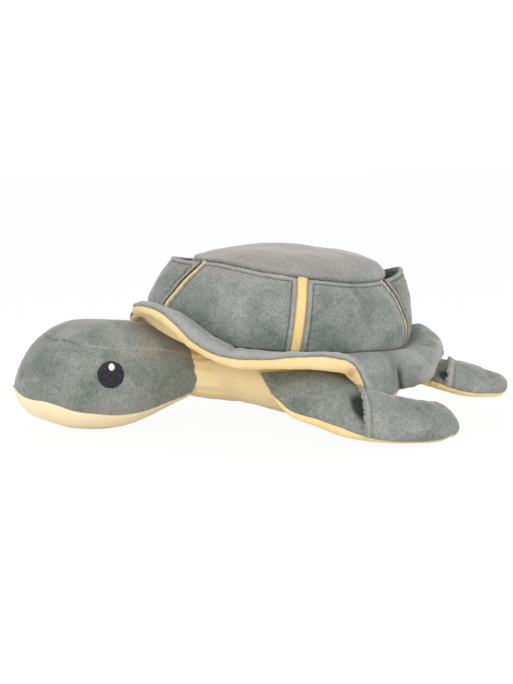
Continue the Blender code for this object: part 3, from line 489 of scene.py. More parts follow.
creamLook = {
    "dark": (0.850, 0.630, 0.290, 1),
    "light": (0.920, 0.745, 0.410, 1),
    "deep": (0.620, 0.400, 0.140, 1),
    "pale": (0.985, 0.880, 0.660, 1),
    "grainDark": (0.88, 0.87, 0.84, 1),
    "grainLight": (1.06, 1.06, 1.06, 1),
    "grainShare": 0.7,
    "grainContrast": 2.4,
    "grainSize": 0.9 * mm,
    "combed": (1.0, 1.0, 0.55),
    "patchSize": 22 * mm,
    "patchContrast": 2.0,
    "strokeSize": 6 * mm,
    "seamShade": 0.5,
    "bump": 0.4,
    "bumpDepth": 0.7 * mm,
    "inputs": dict(clothInputs, **{"Sheen Weight": 0.25, "Sheen Tint": (1.0, 0.97, 0.92, 1)}),
}
# darker copies of the cream, as painted shade: the brim's underside and the shell's strips face up
# and catch more light
shadedCreamLook = dict(creamLook, dark=(0.780, 0.570, 0.265, 1), light=(0.850, 0.685, 0.385, 1))
shadedBandLook = dict(shadedCreamLook, dark=(0.750, 0.530, 0.225, 1), light=(0.815, 0.635, 0.325, 1))
# the lining's grey, darkened as painted shade inside the pockets
shadedBandLook["hidden"] = (0.070, 0.085, 0.072, 1)
greyPlush = plush("greyPlush", greyLook)
creamPlush = plush("creamPlush", creamLook)
shadedCreamPlush = plush("shadedCreamPlush", shadedCreamLook)
shadedBandPlush = plush("shadedBandPlush", shadedBandLook)


# Embroidery: fine parallel threads as bands of a wave, broken up by noise, with bright specks.
def embroidery(name, dark, light, thread, rough):
    material, shader, root, place = newMaterial(name)
    bands = {"wave_type": "BANDS", "bands_direction": "DIAGONAL"}
    values = {"Vector": place, "Scale": 0.32 / thread, "Distortion": 3.0}
    values.update({"Detail": 2.0, "Detail Scale": 1.5})
    waves = root.node("ShaderNodeTexWave", bands, values, 1)
    fuzz = root.noise(place, 0.5 * mm, 2.0, 0.6)
    specks = root.noise(place, 0.95 * mm, 1.0, 0.5).stretched(3.5)
    shine = (specks * specks * 0.8 + waves * fuzz * 0.4).clipped()
    colour = root.mixed(shine, dark, light)
    inputs = {"Roughness": rough, "Specular IOR Level": 0.25, "Sheen Weight": 0.05}
    finishShader(root, shader, colour, waves * 0.8 + fuzz * 0.2, 0.5, 0.25 * mm, inputs)
    return material


blackThread = embroidery(
    "blackThread", (0.004, 0.004, 0.007, 1), (0.050, 0.048, 0.058, 1), 0.4 * mm, 0.6
)
whiteThread = embroidery(
    "whiteThread", (0.78, 0.77, 0.80, 1), (0.96, 0.95, 0.97, 1), 0.4 * mm, 0.55
)
seamThread = embroidery(
    "seamThread", (0.045, 0.058, 0.050, 1), (0.105, 0.125, 0.110, 1), 0.3 * mm, 0.7
)


# Loose polyester fibre: pale clumps of noise, with finer tangled strands in the bump.
def fibre(name, dark, light):
    material, shader, root, place = newMaterial(name)
    strands = root.noise(place, 2.2 * mm, 5.0, 0.72, 2.5)
    clumps = root.noise(place, 14 * mm, 2.0, 0.5, 0.5)
    colour = root.mixed(clumps.stretched(2.0), dark, light)
    inputs = {"Roughness": 0.95, "Sheen Weight": 0.3}
    finishShader(root, shader, colour, strands * 0.7 + clumps * 0.3, 0.8, 1.2 * mm, inputs)
    return material


fibreFill = fibre("fibreFill", (0.74, 0.74, 0.73, 1), (0.90, 0.90, 0.89, 1))


# Gives a piece its cloth and the body it moves with, and hides the nodes it stands for. Its fill
# is not used.
def dress(piece, material, rides, *nodes, fill=None):
    piece.data.materials.append(material)
    if nodes:
        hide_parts(*nodes)
    if rides:
        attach(piece, rides)
    return piece


print("materials ready")

shellSizes = {
    "middleX": -40 * mm,
    "length": 197 * mm,
    "width": 172 * mm,
    "flatness": 0.055,  # how much the sides flatten between the corners
    "seatHeight": 60 * mm,
    "seatSlope": math.radians(4),
    "seatLift": 7.8 * mm,
    "frontRise": 13 * mm,
    "riseStart": 46 * mm,
    "capEdgeHeight": 118 * mm,
    "capSlope": math.radians(5.3),
    "capSetback": 8 * mm,
    "frontTop": (3 * mm, 215, 0.42),  # height, bearing and width of a swell of the top edge
    "rearTop": (-3 * mm, 305, 0.5),
    "cloth": 1.8 * mm,
}
# degrees round the shell where a pocket starts, width of the strip there, lift of its open mouth
pocketTable = {
    "pocket_rear_right": (22.0, 6.4 * mm, 0),
    "pocket_front_right": (92.0, 8.4 * mm, 0),
    "pocket_front": (159.0, 5 * mm, 3 * mm),
    "pocket_front_left": (201.0, 6 * mm, 0),
    "pocket_rear_left": (268.0, 8.4 * mm, 0),
    "pocket_rear": (334.5, 6.4 * mm, 5.5 * mm),
}
# share of the wall's height, then of the half length and of the half width there
wallProfile = np.array([
    (0.0, 1.0, 1.0),
    (0.16, 1.003, 1.005),
    (0.34, 0.985, 0.992),
    (0.54, 0.93, 0.957),
    (0.74, 0.862, 0.90),
    (0.90, 0.784, 0.83),
    (1.0, 0.73, 0.785),
])


# Height of the seam between torso and brim: a slope, and a square curve up towards the head.
def seatHeight(x):
    s = shellSizes
    ahead = s["middleX"] - x
    share = np.maximum((ahead - s["riseStart"]) / (s["length"] / 2 - s["riseStart"]), 0)
    return s["seatHeight"] + math.tan(s["seatSlope"]) * ahead + s["frontRise"] * share**2


# The angle in radians between a direction and a bearing in degrees.
def turnApart(angle, degrees):
    return np.abs(np.mod(angle - math.radians(degrees) + math.pi, fullTurn) - math.pi)


# 1 at the shell's six corners, and a little less between them, as a squared sine.
def planShare(angle):
    starts = np.radians([row[0] for row in pocketTable.values()])
    spans = np.mod(np.roll(starts, -1) - starts, fullTurn)
    share = np.ones_like(angle)
    for start, span in zip(starts, spans):
        t = np.mod(angle - start, fullTurn) / span
        flat = shellSizes["flatness"] * (span / spans.max()) ** 2
        share = np.where(t <= 1, 1 - flat * np.sin(math.pi * t) ** 2, share)
    return share


# The wall's half length and half width at a height share, as shares of the shell's own.
def wallShare(rise):
    return np.moveaxis(curveThrough(wallProfile[:, 0], wallProfile[:, 1:], rise), -1, 0)


# The shell's wall: at a height share it is an oval with softly flattened sides, whose height
# runs from the seat to the tilted plane of the cap's edge. A scale under 1 shrinks the top ring.
def shellPoint(angle, rise, scale=1.0, lift=0.0):
    s = shellSizes
    lengths, widths = wallShare(rise) * scale
    plan = planShare(angle)
    x = s["length"] / 2 * lengths * np.cos(angle) * plan + s["middleX"] + s["capSetback"] * rise
    y = s["width"] / 2 * widths * np.sin(angle) * plan
    low = seatHeight(x) + s["seatLift"]
    high = s["capEdgeHeight"] - math.tan(s["capSlope"]) * (x - s["middleX"] - s["capSetback"])
    for height, bearing, width in (s["frontTop"], s["rearTop"]):
        high = high + height * hill(turnApart(angle, bearing), width) * scale**2
    return np.stack([x, y, low + (high - low) * rise + lift], -1)


shellMiddle = np.array([shellSizes["middleX"], 0, 90 * mm])
pocketSizes = {
    "rows": 100,
    "columns": 148,
    "hem": 3.6 * mm,
    "hemRise": 0.4 * mm,
    "hemRound": 1.3 * mm,
    "puff": 2.4 * mm,
    "openPuff": 0.35,  # share of the puff that an open pocket keeps
    "gape": 16 * mm,
    "stitchDip": 0.6 * mm,
    "stitchWidth": 0.75 * mm,
    "stitchPitch": 2.6 * mm,
    "stitchLength": 2.0 * mm,
    "stitchThick": 0.42 * mm,
    "stitchLift": 0.02 * mm,
    "stitchFoot": 3,  # the grid row where the stitches start
    "pucker": 0.22 * mm,
    "puckerStep": 5.2 * mm,
    "soft": ((0.9 * mm, 34 * mm, 11), (0.35 * mm, 11 * mm, 12)),
    "softHem": (0.25 * mm, 7 * mm, 13),
}


# A patch pocket: the wall between two strips, puffed in its middle, with a folded hem round its
# sides and top, a sunk line of stitches inside the hem, and small puckers along that line. An
# open one leans away from the shell by a power of its height.
def makePocket(name):
    s, p = shellSizes, pocketSizes
    names = list(pocketTable)
    following = names[(names.index(name) + 1) % len(names)]
    start, strip, mouthLift = pocketTable[name]
    end, lastStrip, _ = pocketTable[following]
    end += 360 if end < start else 0
    start, end = math.radians(start), math.radians(end)
    diameter = (s["length"] + s["width"]) / 2
    half, lastHalf = strip / diameter, lastStrip / diameter
    across = crowded(p["columns"], 0.72)[None, :]
    up = crowded(p["rows"], 0.6)[:, None]
    lengths = wallShare(up)[0]
    angle = start + half / lengths + (end - start - (half + lastHalf) / lengths) * across
    rise = up * np.ones_like(across)
    grid = shellPoint(angle, rise)
    puffed = p["puff"]
    if mouthLift:
        away = unit((grid - (s["middleX"], 0, 0)) * (1, 1, 0))
        reach = rise**1.5 * np.abs(np.sin(math.pi * across)) ** 0.8
        grid = grid + away * p["gape"] * reach[..., None]
        grid[..., 2] += mouthLift * reach**2
        puffed = p["puff"] * p["openPuff"]
    normals = normalsOf(grid, shellMiddle)
    low, top, left, right = borderDistances(grid)
    edge = softLeast(softLeast(left, right), top)
    inside = np.maximum(edge - p["hem"], 0)
    hem = p["hemRise"] * (1 - ease(edge, p["hem"] - 0.9 * mm, p["hem"] + 0.3 * mm))
    puff = puffed * (1 - fading(inside, 11 * mm)) * (1 - fading(low, 9 * mm))
    groove = p["stitchDip"] * hill(edge - p["hem"], p["stitchWidth"])
    run = np.where(top < softLeast(left, right), left, low)
    pucker = p["pucker"] * wave(run, p["puckerStep"]) * hill(edge - p["hem"], 3.5 * mm)
    soft = unevenness(grid, *p["soft"]) * ease(inside, 0, 10 * mm)
    soft = soft + unevenness(grid, p["softHem"]) * (edge < 8 * mm)
    wall = s["cloth"] * turnedEdge(edge, p["hemRound"])
    outer = grid + normals * (wall - s["cloth"] + hem + puff - groove + pucker + soft)[..., None]
    backing = puff * 0.8 * ease(inside, 0, 6 * mm) - s["cloth"] - 0.15 * mm
    inner = grid + normals * backing[..., None]
    dashes = 0.5 + 0.3 * wave(run, p["stitchPitch"]) + unevenness(grid, (0.3, 9 * mm, 14))
    seam = dashes * hill(edge - p["hem"], 0.55 * mm) + 0.3 * hill(low, 1.6 * mm)
    # painted highlight along the rounded hem, where the raised pile catches the light
    pale = 0.75 * hill(edge - 0.45 * p["hem"], 1.5 * mm) * ease(low, 2 * mm, 8 * mm)
    piece = layer(name, outer, inner, marks={"seam": seam, "pale": pale})
    dress(piece, greyPlush, "torso", name)
    # the stitches run up one side, along the top and down the other
    foot, count = p["stitchFoot"], 160
    height, width = p["rows"] - 1, p["columns"] - 1
    topRow = np.interp(p["hem"], top[::-1, width // 2], np.arange(height, -1, -1))
    first = np.interp(p["hem"], left[height // 2], np.arange(width + 1))
    last = np.interp(-p["hem"], -right[height // 2], np.arange(width + 1))
    corners = [(foot, first), (topRow, first), (topRow, last), (foot, last)]
    sides = [np.linspace(a, b, count) for a, b in zip(corners, corners[1:])]
    rowsAt, columnsAt = np.concatenate(sides).T
    line = readGrid(outer, rowsAt, columnsAt)
    upward = readGrid(normals, rowsAt, columnsAt)
    sizes = (p[f"stitch{key}"] for key in ("Pitch", "Length", "Thick", "Lift"))
    dress(stitchRow(name + "_stitches", line, upward, *sizes), seamThread, "torso")


for pocketName in pocketTable:
    makePocket(pocketName)

bandSizes = {
    "columns": 820,
    "sunk": 2.3 * mm,
    "stripRise": 1.55 * mm,
    "innerFace": 3.9 * mm,
    "tucks": ((0.975, 0.6 * mm), (0.94, 2.2 * mm)),  # scale of a ring under the cap, its rise
    "rimRise": 0.9 * mm,
    "peep": (1.3 * mm, 253, 0.26),  # how far the rim shows under the cap, bearing, width
    "soft": (0.15 * mm, 4 * mm, 3),
}


# The cream backing: the wall again, sunk under the pockets and raised where a strip shows.
def makeBand():
    s, b = shellSizes, bandSizes
    angle = roundTurn(b["columns"])[None, :]
    one = np.ones_like(angle)
    rise = np.concatenate([np.linspace(0, 0.9, 40), np.linspace(0.91, 1.0, 14)])[:, None]
    tucks = [shellPoint(angle, one, scale, lift) for scale, lift in b["tucks"]]
    grid = np.concatenate([shellPoint(angle, rise * one)] + tucks)
    rise = np.concatenate([rise] + [[[1.0]]] * len(tucks))
    normals = normalsOf(grid, shellMiddle, True)
    girth = (s["length"] + s["width"]) / 2 * wallShare(rise)[0]
    share = np.min([turnApart(angle, row[0]) / (row[1] / girth) for row in pocketTable.values()], 0)
    rim = ease(rise, 0.985, 1.0) * one
    raised = b["stripRise"] * (1 - ease(share, 0.55, 1.0)) + unevenness(grid, b["soft"])
    height, bearing, width = b["peep"]
    rimRise = b["rimRise"] + height * hill(turnApart(angle, bearing), width)
    outer = grid + normals * (raised - b["sunk"] + rim * rimRise)[..., None]
    inner = grid - normals * b["innerFace"]
    strip = np.maximum(1 - ease(share, 0.92, 1.15), rim)
    # painted shade in the gaps beside each strip, where the pockets' edges meet it
    marks = {"strip": strip, "seam": hill(share - 1.0, 0.16) * 0.8}
    piece = layer("shell_band", outer, inner, wrap=True, marks=marks)
    dress(piece, shadedBandPlush, "torso", "shell_band", fill=0.8)


makeBand()

capSizes = {
    "columns": 360,
    "rise": 13.8 * mm,
    "lean": 16 * mm,
    "proud": 0.7 * mm,
    "edgeRound": 2.2 * mm,
    "edgeRoll": 0.6 * mm,
    "edgeDrop": 0.5 * mm,
    "ripple": 0.25 * mm,
    "soft": ((1.1 * mm, 46 * mm, 21), (0.3 * mm, 13 * mm, 22)),
}
# share of the cap's size, then of its rise
capProfile = np.array([
    (0, 1.0), (0.2, 0.985), (0.4, 0.94), (0.6, 0.84),
    (0.78, 0.63), (0.9, 0.37), (0.97, 0.14), (1, 0),
])


# The cap: rings that shrink from the wall's top edge to the crown, as a dome on a tilted plane.
def makeCap():
    s, c = shellSizes, capSizes
    scale = np.concatenate([np.linspace(1.0, 0.9, 22), np.linspace(0.89, 0.02, 70)])[:, None]
    turn = np.ones_like(scale) * roundTurn(c["columns"])
    share = curveThrough(capProfile[:, 0], capProfile[:, 1], scale)
    grid = shellPoint(turn, np.ones_like(turn), scale, share * c["rise"])
    grid[..., 0] += c["lean"] * share
    normals = normalsOf(grid, shellMiddle, True)
    low = borderDistances(grid)[0]
    wall = s["cloth"] * (turnedEdge(low, c["edgeRound"]) - 1) + c["proud"]
    roll = c["edgeRoll"] * hill(low - 3.5 * mm, 3.0 * mm)
    ripple = c["ripple"] * np.sin(turn * 46 + 3 * np.sin(turn * 5)) * fading(low, 6 * mm)
    soft = unevenness(grid, *c["soft"]) * ease(low, 0, 14 * mm)
    outer = grid + normals * (wall + roll + ripple + soft)[..., None]
    outer[..., 2] -= c["edgeDrop"] * hill(low, 1.5 * mm)
    inner = grid - normals * s["cloth"]
    shade = hill(low, 1.8 * mm)
    marks = {"seam": np.concatenate([shade[::-1], shade])}
    piece = body("shell_cap", np.concatenate([outer[::-1], inner]), marks=marks)
    dress(piece, greyPlush, "torso", "shell_cap", fill=0.8)


makeCap()
print("shell sewn")

torsoSizes = {
    "columns": 260,
    "length": 156 * mm,
    "width": 152 * mm,
    "centreX": -24 * mm,
    "chestRise": 19.5 * mm,
    "chestCurl": 0.58,  # under 1 the belly rises at once from its flat patch
    "patchLength": 26 * mm,
    "patchWidth": 48 * mm,
    "patchX": 4 * mm,
    # painted light: how far the belly's cream is lightened, as the chest lies in shade
    "paintedLight": 0.4,
    "tucks": ((3 * mm, 0.5 * mm), (12 * mm, 3 * mm)),  # rings under the shell: inset, drop
    "fillInset": 3 * mm,
    "fillFloor": 2.4 * mm,
    "shellFillScale": (0.93, 0.93, 1),
    "soft": ((0.9 * mm, 40 * mm, 31), (0.35 * mm, 12 * mm, 32)),
}
# share of the height, then of the half width
torsoProfile = np.array([
    (0.0, 0.46),
    (0.05, 0.63),
    (0.15, 0.785),
    (0.30, 0.905),
    (0.48, 0.975),
    (0.66, 1.0),
    (0.82, 0.95),
    (0.93, 0.865),
    (1.0, 0.78),
])


# Height of the belly's underside: level to the front of the flat patch, then up to the chest as
# a sine of a power of the way, eased in at its start.
def bellyHeight(x):
    s = torsoSizes
    flatEnd = s["patchX"] - s["patchLength"] / 2
    chest = s["centreX"] - s["length"] / 2
    share = np.clip((flatEnd - x) / (flatEnd - chest), 0, 1)
    curve = np.sin(math.pi / 2 * share ** s["chestCurl"])
    return s["chestRise"] * curve * ease(share, -0.04, 0.22)


# A point of the torso's skin: an oval whose size follows the profile with height.
def torsoPoint(angle, height, inset=0.0):
    s = torsoSizes
    width = curveThrough(torsoProfile[:, 0], torsoProfile[:, 1], height)
    x = s["centreX"] + (s["length"] / 2 * width - inset) * np.cos(angle)
    y = (s["width"] / 2 * width - inset) * np.sin(angle)
    low = bellyHeight(x)
    return np.stack([x, y, low + height * (seatHeight(x) - low)], -1)


# The torso and what fills it and the shell: rings out over the flat patch, on straight lines to
# the foot of the sides, up the sides, and in under the shell.
def makeTorso():
    s = torsoSizes
    angle = roundTurn(s["columns"])[None, :]
    one = np.ones_like(angle)
    height = np.concatenate([np.linspace(0, 0.12, 14), np.linspace(0.14, 1.0, 70)])[:, None]
    sides = torsoPoint(angle, height * one)
    patchX = s["patchX"] + s["patchLength"] / 2 * np.cos(angle)
    patch = np.stack([patchX, s["patchWidth"] / 2 * np.sin(angle), 0 * angle], -1)
    t = np.linspace(0, 1, 16, endpoint=False)[:, None, None]
    under = patch * (1 - t) + sides[:1] * t
    under[..., 2] = np.maximum(under[..., 2], bellyHeight(under[..., 0]) * t[..., 0] ** 0.7)
    centre = patch * np.linspace(0.1, 0.92, 8)[:, None, None]
    rings = np.concatenate([centre, under, sides])
    normals = normalsOf(rings, (s["centreX"], 0, 35 * mm), True)
    soft = unevenness(rings, *s["soft"]) * ease(rings[..., 2], 4 * mm, 14 * mm) - 0.1 * mm
    rings = rings + normals * soft[..., None]
    rings[..., 2] = np.maximum(rings[..., 2], 0)
    tucks = [torsoPoint(angle, one, inset) - (0, 0, drop) for inset, drop in s["tucks"]]
    rings = np.concatenate([rings] + tucks)
    marks = {"pale": np.full(rings.shape[:2], s["paintedLight"])}
    piece = body("belly_panel", rings, np.zeros(3), marks=marks)
    dress(piece, creamPlush, "torso", "belly_panel", fill=0.8)
    few = angle[:, ::6]
    inner = torsoPoint(few, np.linspace(0.08, 0.93, 18)[:, None] + 0 * few, s["fillInset"])
    inner[..., 2] = np.maximum(inner[..., 2], s["fillFloor"])
    dress(body("belly_stuffing", inner), fibreFill, "torso", "belly_stuffing", fill=0.8)
    rise = np.linspace(0.04, 0.9, 10)[:, None]
    middle = np.array([shellSizes["middleX"], 0, 0])
    core = (shellPoint(few + 0 * rise, rise + 0 * few) - middle) * s["shellFillScale"] + middle
    dress(body("shell_stuffing", core), fibreFill, "torso", "shell_stuffing", fill=0.8)


makeTorso()

brimSizes = {
    "columns": 960,
    "faceRows": 26,
    "edgeRows": 20,
    "reach": 20 * mm,
    "wave": 30 * mm,
    "footClearance": 1 * mm,
    "low": 0.4 * mm,  # height of the padded section's underside over the brim's lower face
    "high": 7.4 * mm,
    "leastLean": -0.2,
    "footBlend": 0.4,
    "cloth": 1.6 * mm,
    "seatScales": {"high": (0.95, 0.66), "low": (0.97, 0.66)},  # rings inside the seat
    "seamDip": 0.9 * mm,
    "wrinkle": 0.28 * mm,
    "footDip": 0.7 * mm,
    "soft": ((0.7 * mm, 26 * mm, 41), (0.4 * mm, 9 * mm, 42)),
    "folds": (0.9 * mm, 352, 12, 24),  # depth, bearing, where they start to fade and end
    "crease": (1.7, 316.3, 0.9),  # shade, bearing and width of the deep crease
    # painted shade beside the deep crease, where the rear lobe goes behind: shade, bearing and
    # width
    "creaseSide": (0.7, 321, 4),
    "pinch": (4.0 * mm, 286.5, 1.5, 2.2),  # depth, bearing, width and shade
    "rollShade": (0.5, 216, 18),
}
# bearing, width and depth of each crease in the upper cloth
brimCreases = (
    (316, 1.4, 3.4 * mm),
    (302, 1.2, 1.1 * mm),
    (333, 1.5, 1.6 * mm),
    (243, 1.6, 1.6 * mm),
)
# degrees round the shell, share of the reach, of the wave that the edge rises, of its arch, then
# the power of the curl: under 1 it turns up at once, over 1 only near the edge
brimEdge = np.array([
    (0, 1.12, 0.08, 0.26, 1.6),
    (20, 1.02, 0.08, 0.18, 1.6),
    (34, 0.72, -0.22, 0.12, 1.5),
    (47, 0.52, -0.46, 0.10, 1.4),
    (60, 0.74, -0.22, 0.08, 1.5),
    (74, 0.95, 0.02, 0.05, 1.6),
    (90, 1.0, 0.06, 0.04, 1.6),
    (105, 1.0, -0.02, 0.05, 1.6),
    (120, 1.0, -0.08, 0.06, 1.5),
    (131, 0.97, -0.12, 0.08, 1.4),
    (141, 0.86, -0.20, 0.08, 1.3),
    (151, 0.70, -0.26, 0.06, 1.3),
    (160, 0.56, -0.20, 0.05, 1.3),
    (170, 0.42, -0.02, 0.05, 1.2),
    (180, 0.48, 0.18, 0.05, 1.0),
    (190, 0.68, 0.32, 0.06, 0.9),
    (198, 0.86, 0.50, 0.09, 0.8),
    (206, 0.96, 0.64, 0.13, 0.7),
    (213, 0.95, 0.67, 0.18, 0.65),
    (220, 0.93, 0.51, 0.23, 0.7),
    (228, 0.96, 0.24, 0.26, 0.9),
    (236, 1.0, 0.03, 0.18, 1.2),
    (245, 1.0, -0.08, 0.09, 1.5),
    (257, 1.0, -0.05, 0.06, 1.6),
    (270, 1.0, 0.05, 0.04, 1.6),
    (279, 0.98, 0.03, 0.05, 1.6),
    (285, 0.90, -0.08, 0.06, 1.5),
    (289, 0.76, -0.34, 0.08, 1.3),
    (294, 0.62, -0.66, 0.10, 1.2),
    (301, 0.58, -0.76, 0.12, 1.2),
    (307, 0.52, -0.82, 0.12, 1.2),
    (312, 0.36, -0.78, 0.12, 1.3),
    (318, 0.46, -0.68, 0.08, 1.4),
    (325, 0.74, -0.60, 0.04, 1.5),
    (331, 0.90, -0.50, 0.05, 1.5),
    (337, 1.04, -0.22, 0.11, 1.6),
    (347, 1.14, 0.00, 0.22, 1.6),
])
# degrees round the shell, how high on the rounded edge the seam lies in degrees, then how far
# the padding hangs in millimetres
brimSeam = np.array([
    (0, 20, 0.8),
    (40, -20, 0.6),
    (60, 30, 1.2),
    (90, 48, 2.0),
    (150, 30, 1.0),
    (180, 10, 0.6),
    (200, 0, 1.0),
    (214, 12, 1.6),
    (228, 40, 2.0),
    (240, 50, 2.2),
    (270, 50, 3.2),
    (281, 48, 4.2),
    (287, 42, 3.8),
    (292, 12, 1.8),
    (297, -60, 0.4),
    (312, -66, 0.3),
    (326, -20, 0.4),
    (338, 5, 0.8),
    (350, 30, 1.0),
])


# The brim's lower face: from the shell's foot outwards by the reach, while it rises with the
# curl power of the way out, and arches in its middle as a squared sine.
def brimPoint(degrees, share):
    s = brimSizes
    angle = np.radians(degrees)
    x = shellSizes["length"] / 2 * np.cos(angle)
    y = shellSizes["width"] / 2 * np.sin(angle)
    oval = np.stack([x, y], -1) * planShare(np.mod(angle, fullTurn))[..., None]
    outward = unit(oval)
    foot = oval + outward * s["footClearance"] + (shellSizes["middleX"], 0)
    reach, edgeRise, arch, curl = np.moveaxis(ringThrough(brimEdge, degrees), -1, 0)
    place = foot + outward * (s["reach"] * reach * share)[..., None]
    share = np.maximum(share, 0)
    bulge = np.sin(math.pi * np.minimum(share, 1) ** curl) ** 2
    rise = s["wave"] * (edgeRise * share**curl + arch * bulge)
    return np.concatenate([place, (seatHeight(foot[..., 0]) + rise)[..., None]], -1)


# The direction square to the brim's face, upright at its foot, and never leaning far inwards.
def brimNormal(degrees, share):
    s = brimSizes
    step, turnStep, foot = 0.02, 0.7, 0.0005
    ahead, behind = np.minimum(share + step, 1), np.maximum(share - step, foot)
    along = brimPoint(degrees, ahead) - brimPoint(degrees, behind)
    around = brimPoint(degrees + turnStep, share) - brimPoint(degrees - turnStep, share)
    upright = np.array([0, 0, 1.0])
    blend = np.clip(share / s["footBlend"], 0, 1)[..., None]
    normal = unit(upright + (unit(np.cross(along, around)) - upright) * blend)
    angle = np.radians(degrees)
    outward = np.stack([np.cos(angle), np.sin(angle), 0 * angle], -1)
    lean = np.sum(normal * outward, -1, keepdims=True)
    return unit(normal + outward * np.maximum(s["leastLean"] - lean, 0))


# The brim's padded section at each angle round the shell. It runs along the lower face, in a
# half round over the outer edge and back along the upper face. The seam lies on the half round.
def makeBrim():
    s = brimSizes
    degrees = np.linspace(0, 360, s["columns"], endpoint=False)[None, :]
    angle = np.radians(degrees)
    radius = (s["high"] - s["low"]) / 2
    step = 0.04
    slope = brimPoint(degrees, 1 + 0 * degrees) - brimPoint(degrees, 1 - step + 0 * degrees)
    last = 1 - radius / (np.linalg.norm(slope, axis=-1) / step)
    up = brimNormal(degrees, last)
    tip = brimPoint(degrees, last + step / 2) - brimPoint(degrees, last - step / 2)
    tip = unit(tip - up * np.sum(tip * up, -1, keepdims=True))
    core = brimPoint(degrees, last) + up * (s["low"] + radius)
    seamTurn, swell = ringThrough(brimSeam, degrees)[0].T
    seamTurn, swell = np.radians(seamTurn), swell * mm
    shares = crowded(s["faceRows"], 0.3)[::-1, None]
    hang = swell * ease(shares, 0.25, 1)
    length = lengthAlong(core[0])
    faceUp = brimNormal(degrees, shares * last)
    facePlace = brimPoint(degrees, shares * last)

    # One side of the section: the half round from the seam to its end angle, the face at a
    # height, and rings on the seat that shrink with the torso's oval.
    def sideOf(end, height, scales, drop):
        turn = seamTurn + (end - seamTurn) * np.linspace(0, 1, s["edgeRows"])[:, None]
        way = np.cos(turn)[..., None] * tip + np.sin(turn)[..., None] * up
        edge = core + (radius + swell * (1 - np.sin(turn)) / 2)[..., None] * way
        face = facePlace + faceUp * (height - drop)[..., None]
        seat = []
        for scale in scales:
            x = torsoSizes["length"] / 2 * np.cos(angle) * scale + torsoSizes["centreX"]
            y = torsoSizes["width"] / 2 * np.sin(angle) * scale
            seat.append(np.stack([x, y, seatHeight(x) + height], -1))
        facing = 1 if end > 0 else -1
        upright = np.zeros_like(seat[0]) + (0, 0, facing)
        ways = np.concatenate([way, faceUp[1:] * facing] + [upright] * len(scales))
        return np.concatenate([edge, face[1:]] + seat), ways

    # A smooth hill over the degrees between each section and a bearing.
    def near(bearing, width):
        return hill(np.degrees(turnApart(angle, bearing)), width)

    # Sewing wrinkles fan in from the seam, at uneven steps, and fade over a few millimetres.
    def wrinkles(distance):
        uneven = 1.3 * np.sin(length / (13 * mm))
        return s["wrinkle"] * wave(length, 8 * mm, uneven) * hill(distance, 4.5 * mm)

    # Folds fan out from the shell at one bearing, and creases cut in from the edge. Painted shade
    # darkens the deep crease and the cloth beside it.
    def topShape(distance, onBrim):
        depth, bearing, start, end = s["folds"]
        fan = 1 - ease(np.degrees(turnApart(angle, bearing)), start, end)
        folds = np.sin(degrees * 0.9 + 1.6 * np.sin(degrees * 0.13 + 1)) * fan
        relief = depth * folds * hill(distance - 17 * mm, 8 * mm)
        for bearing, width, depth in brimCreases:
            relief = relief - depth * near(bearing, width) * ease(distance, 1 * mm, 7 * mm)
        shade, bearing, width = s["crease"]
        dark = shade * near(bearing, width) * ease(distance, 1 * mm, 6 * mm) * onBrim
        shade, bearing, width = s["creaseSide"]
        dark = dark + shade * near(bearing, width) * hill(distance - 6 * mm, 7 * mm)
        return relief, dark

    # The roll under the edge is pinched at one bearing, and shaded behind its front fold.
    def underShape(distance):
        depth, bearing, width, shade = s["pinch"]
        pinch = near(bearing, width) * hill(distance - 7.5 * mm, 3.4 * mm)
        rollShade, rollBearing, rollWidth = s["rollShade"]
        dark = rollShade * near(rollBearing, rollWidth) * ease(distance, 5 * mm, 8.5 * mm)
        return -depth * pinch, shade * pinch + dark

    for name, end, height, material, puff in (
        ("brim_top", math.pi / 2, "high", greyPlush, 0.5 * mm),
        ("brim_underside", -math.pi / 2, "low", shadedCreamPlush, 0.2 * mm),
    ):
        onTop = name == "brim_top"
        drop = 0 * hang if onTop else hang
        grid, ways = sideOf(end, s[height], s["seatScales"][height], drop)
        distance = borderDistances(grid)[0]
        onBrim = 1 - ease(distance, 16 * mm, 26 * mm)
        relief, dark = topShape(distance, onBrim) if onTop else underShape(distance)
        soft = puff + unevenness(grid, *s["soft"]) + relief
        groove = s["seamDip"] * hill(distance, 1.1 * mm)
        foot = s["footDip"] * hill(distance - distance[-3], 2 * mm) * onTop
        rise = soft * onBrim + wrinkles(distance) - groove - foot
        shade = 0.6 * hill(distance, 0.9 * mm) + dark
        # pale: a painted highlight along the top's raised ridge behind the seam
        marks = {"seam": shade, "pale": 1.2 * hill(distance - 5 * mm, 4.5 * mm) * onTop}
        outer, inner = grid + ways * rise[..., None], grid - ways * s["cloth"]
        piece = layer(name, outer, inner, wrap=True, marks=marks)
        dress(piece, material, "torso", name, fill=0.5)


makeBrim()
print("torso and brim sewn")

headSizes = {
    "rows": 136,
    "columns": 104,
    "length": 127 * mm,
    "width": 87 * mm,
    "height": 81 * mm,
    "backX": -110 * mm,
    "backReach": 6.5 * mm,  # how much further the crown goes back than the chin
    "clearance": 1.2 * mm,
    "cloth": 1.8 * mm,
    "seamDepth": 0.7 * mm,
    "pucker": 0.22 * mm,
    "puckerStep": 6.5 * mm,
    "backTurn": 2.6 * mm,
    "crownStart": 0.18,
    "crownTip": 0.035,
    "crownLeast": 0.25,
    "fillInset": 3.2 * mm,
    "soft": ((0.55 * mm, 42 * mm, 51), (0.2 * mm, 13 * mm, 52)),
}
eyeSizes = {
    "along": 0.53,
    "turn": math.radians(9),
    "radius": 9.6 * mm,
    "rise": 1.3 * mm,
    "glintX": 0.6 * mm,
    "glintZ": 5.2 * mm,
    "glintHalfX": 2.5 * mm,
    "glintHalfZ": 2.9 * mm,
    "glintRise": 0.35 * mm,
}
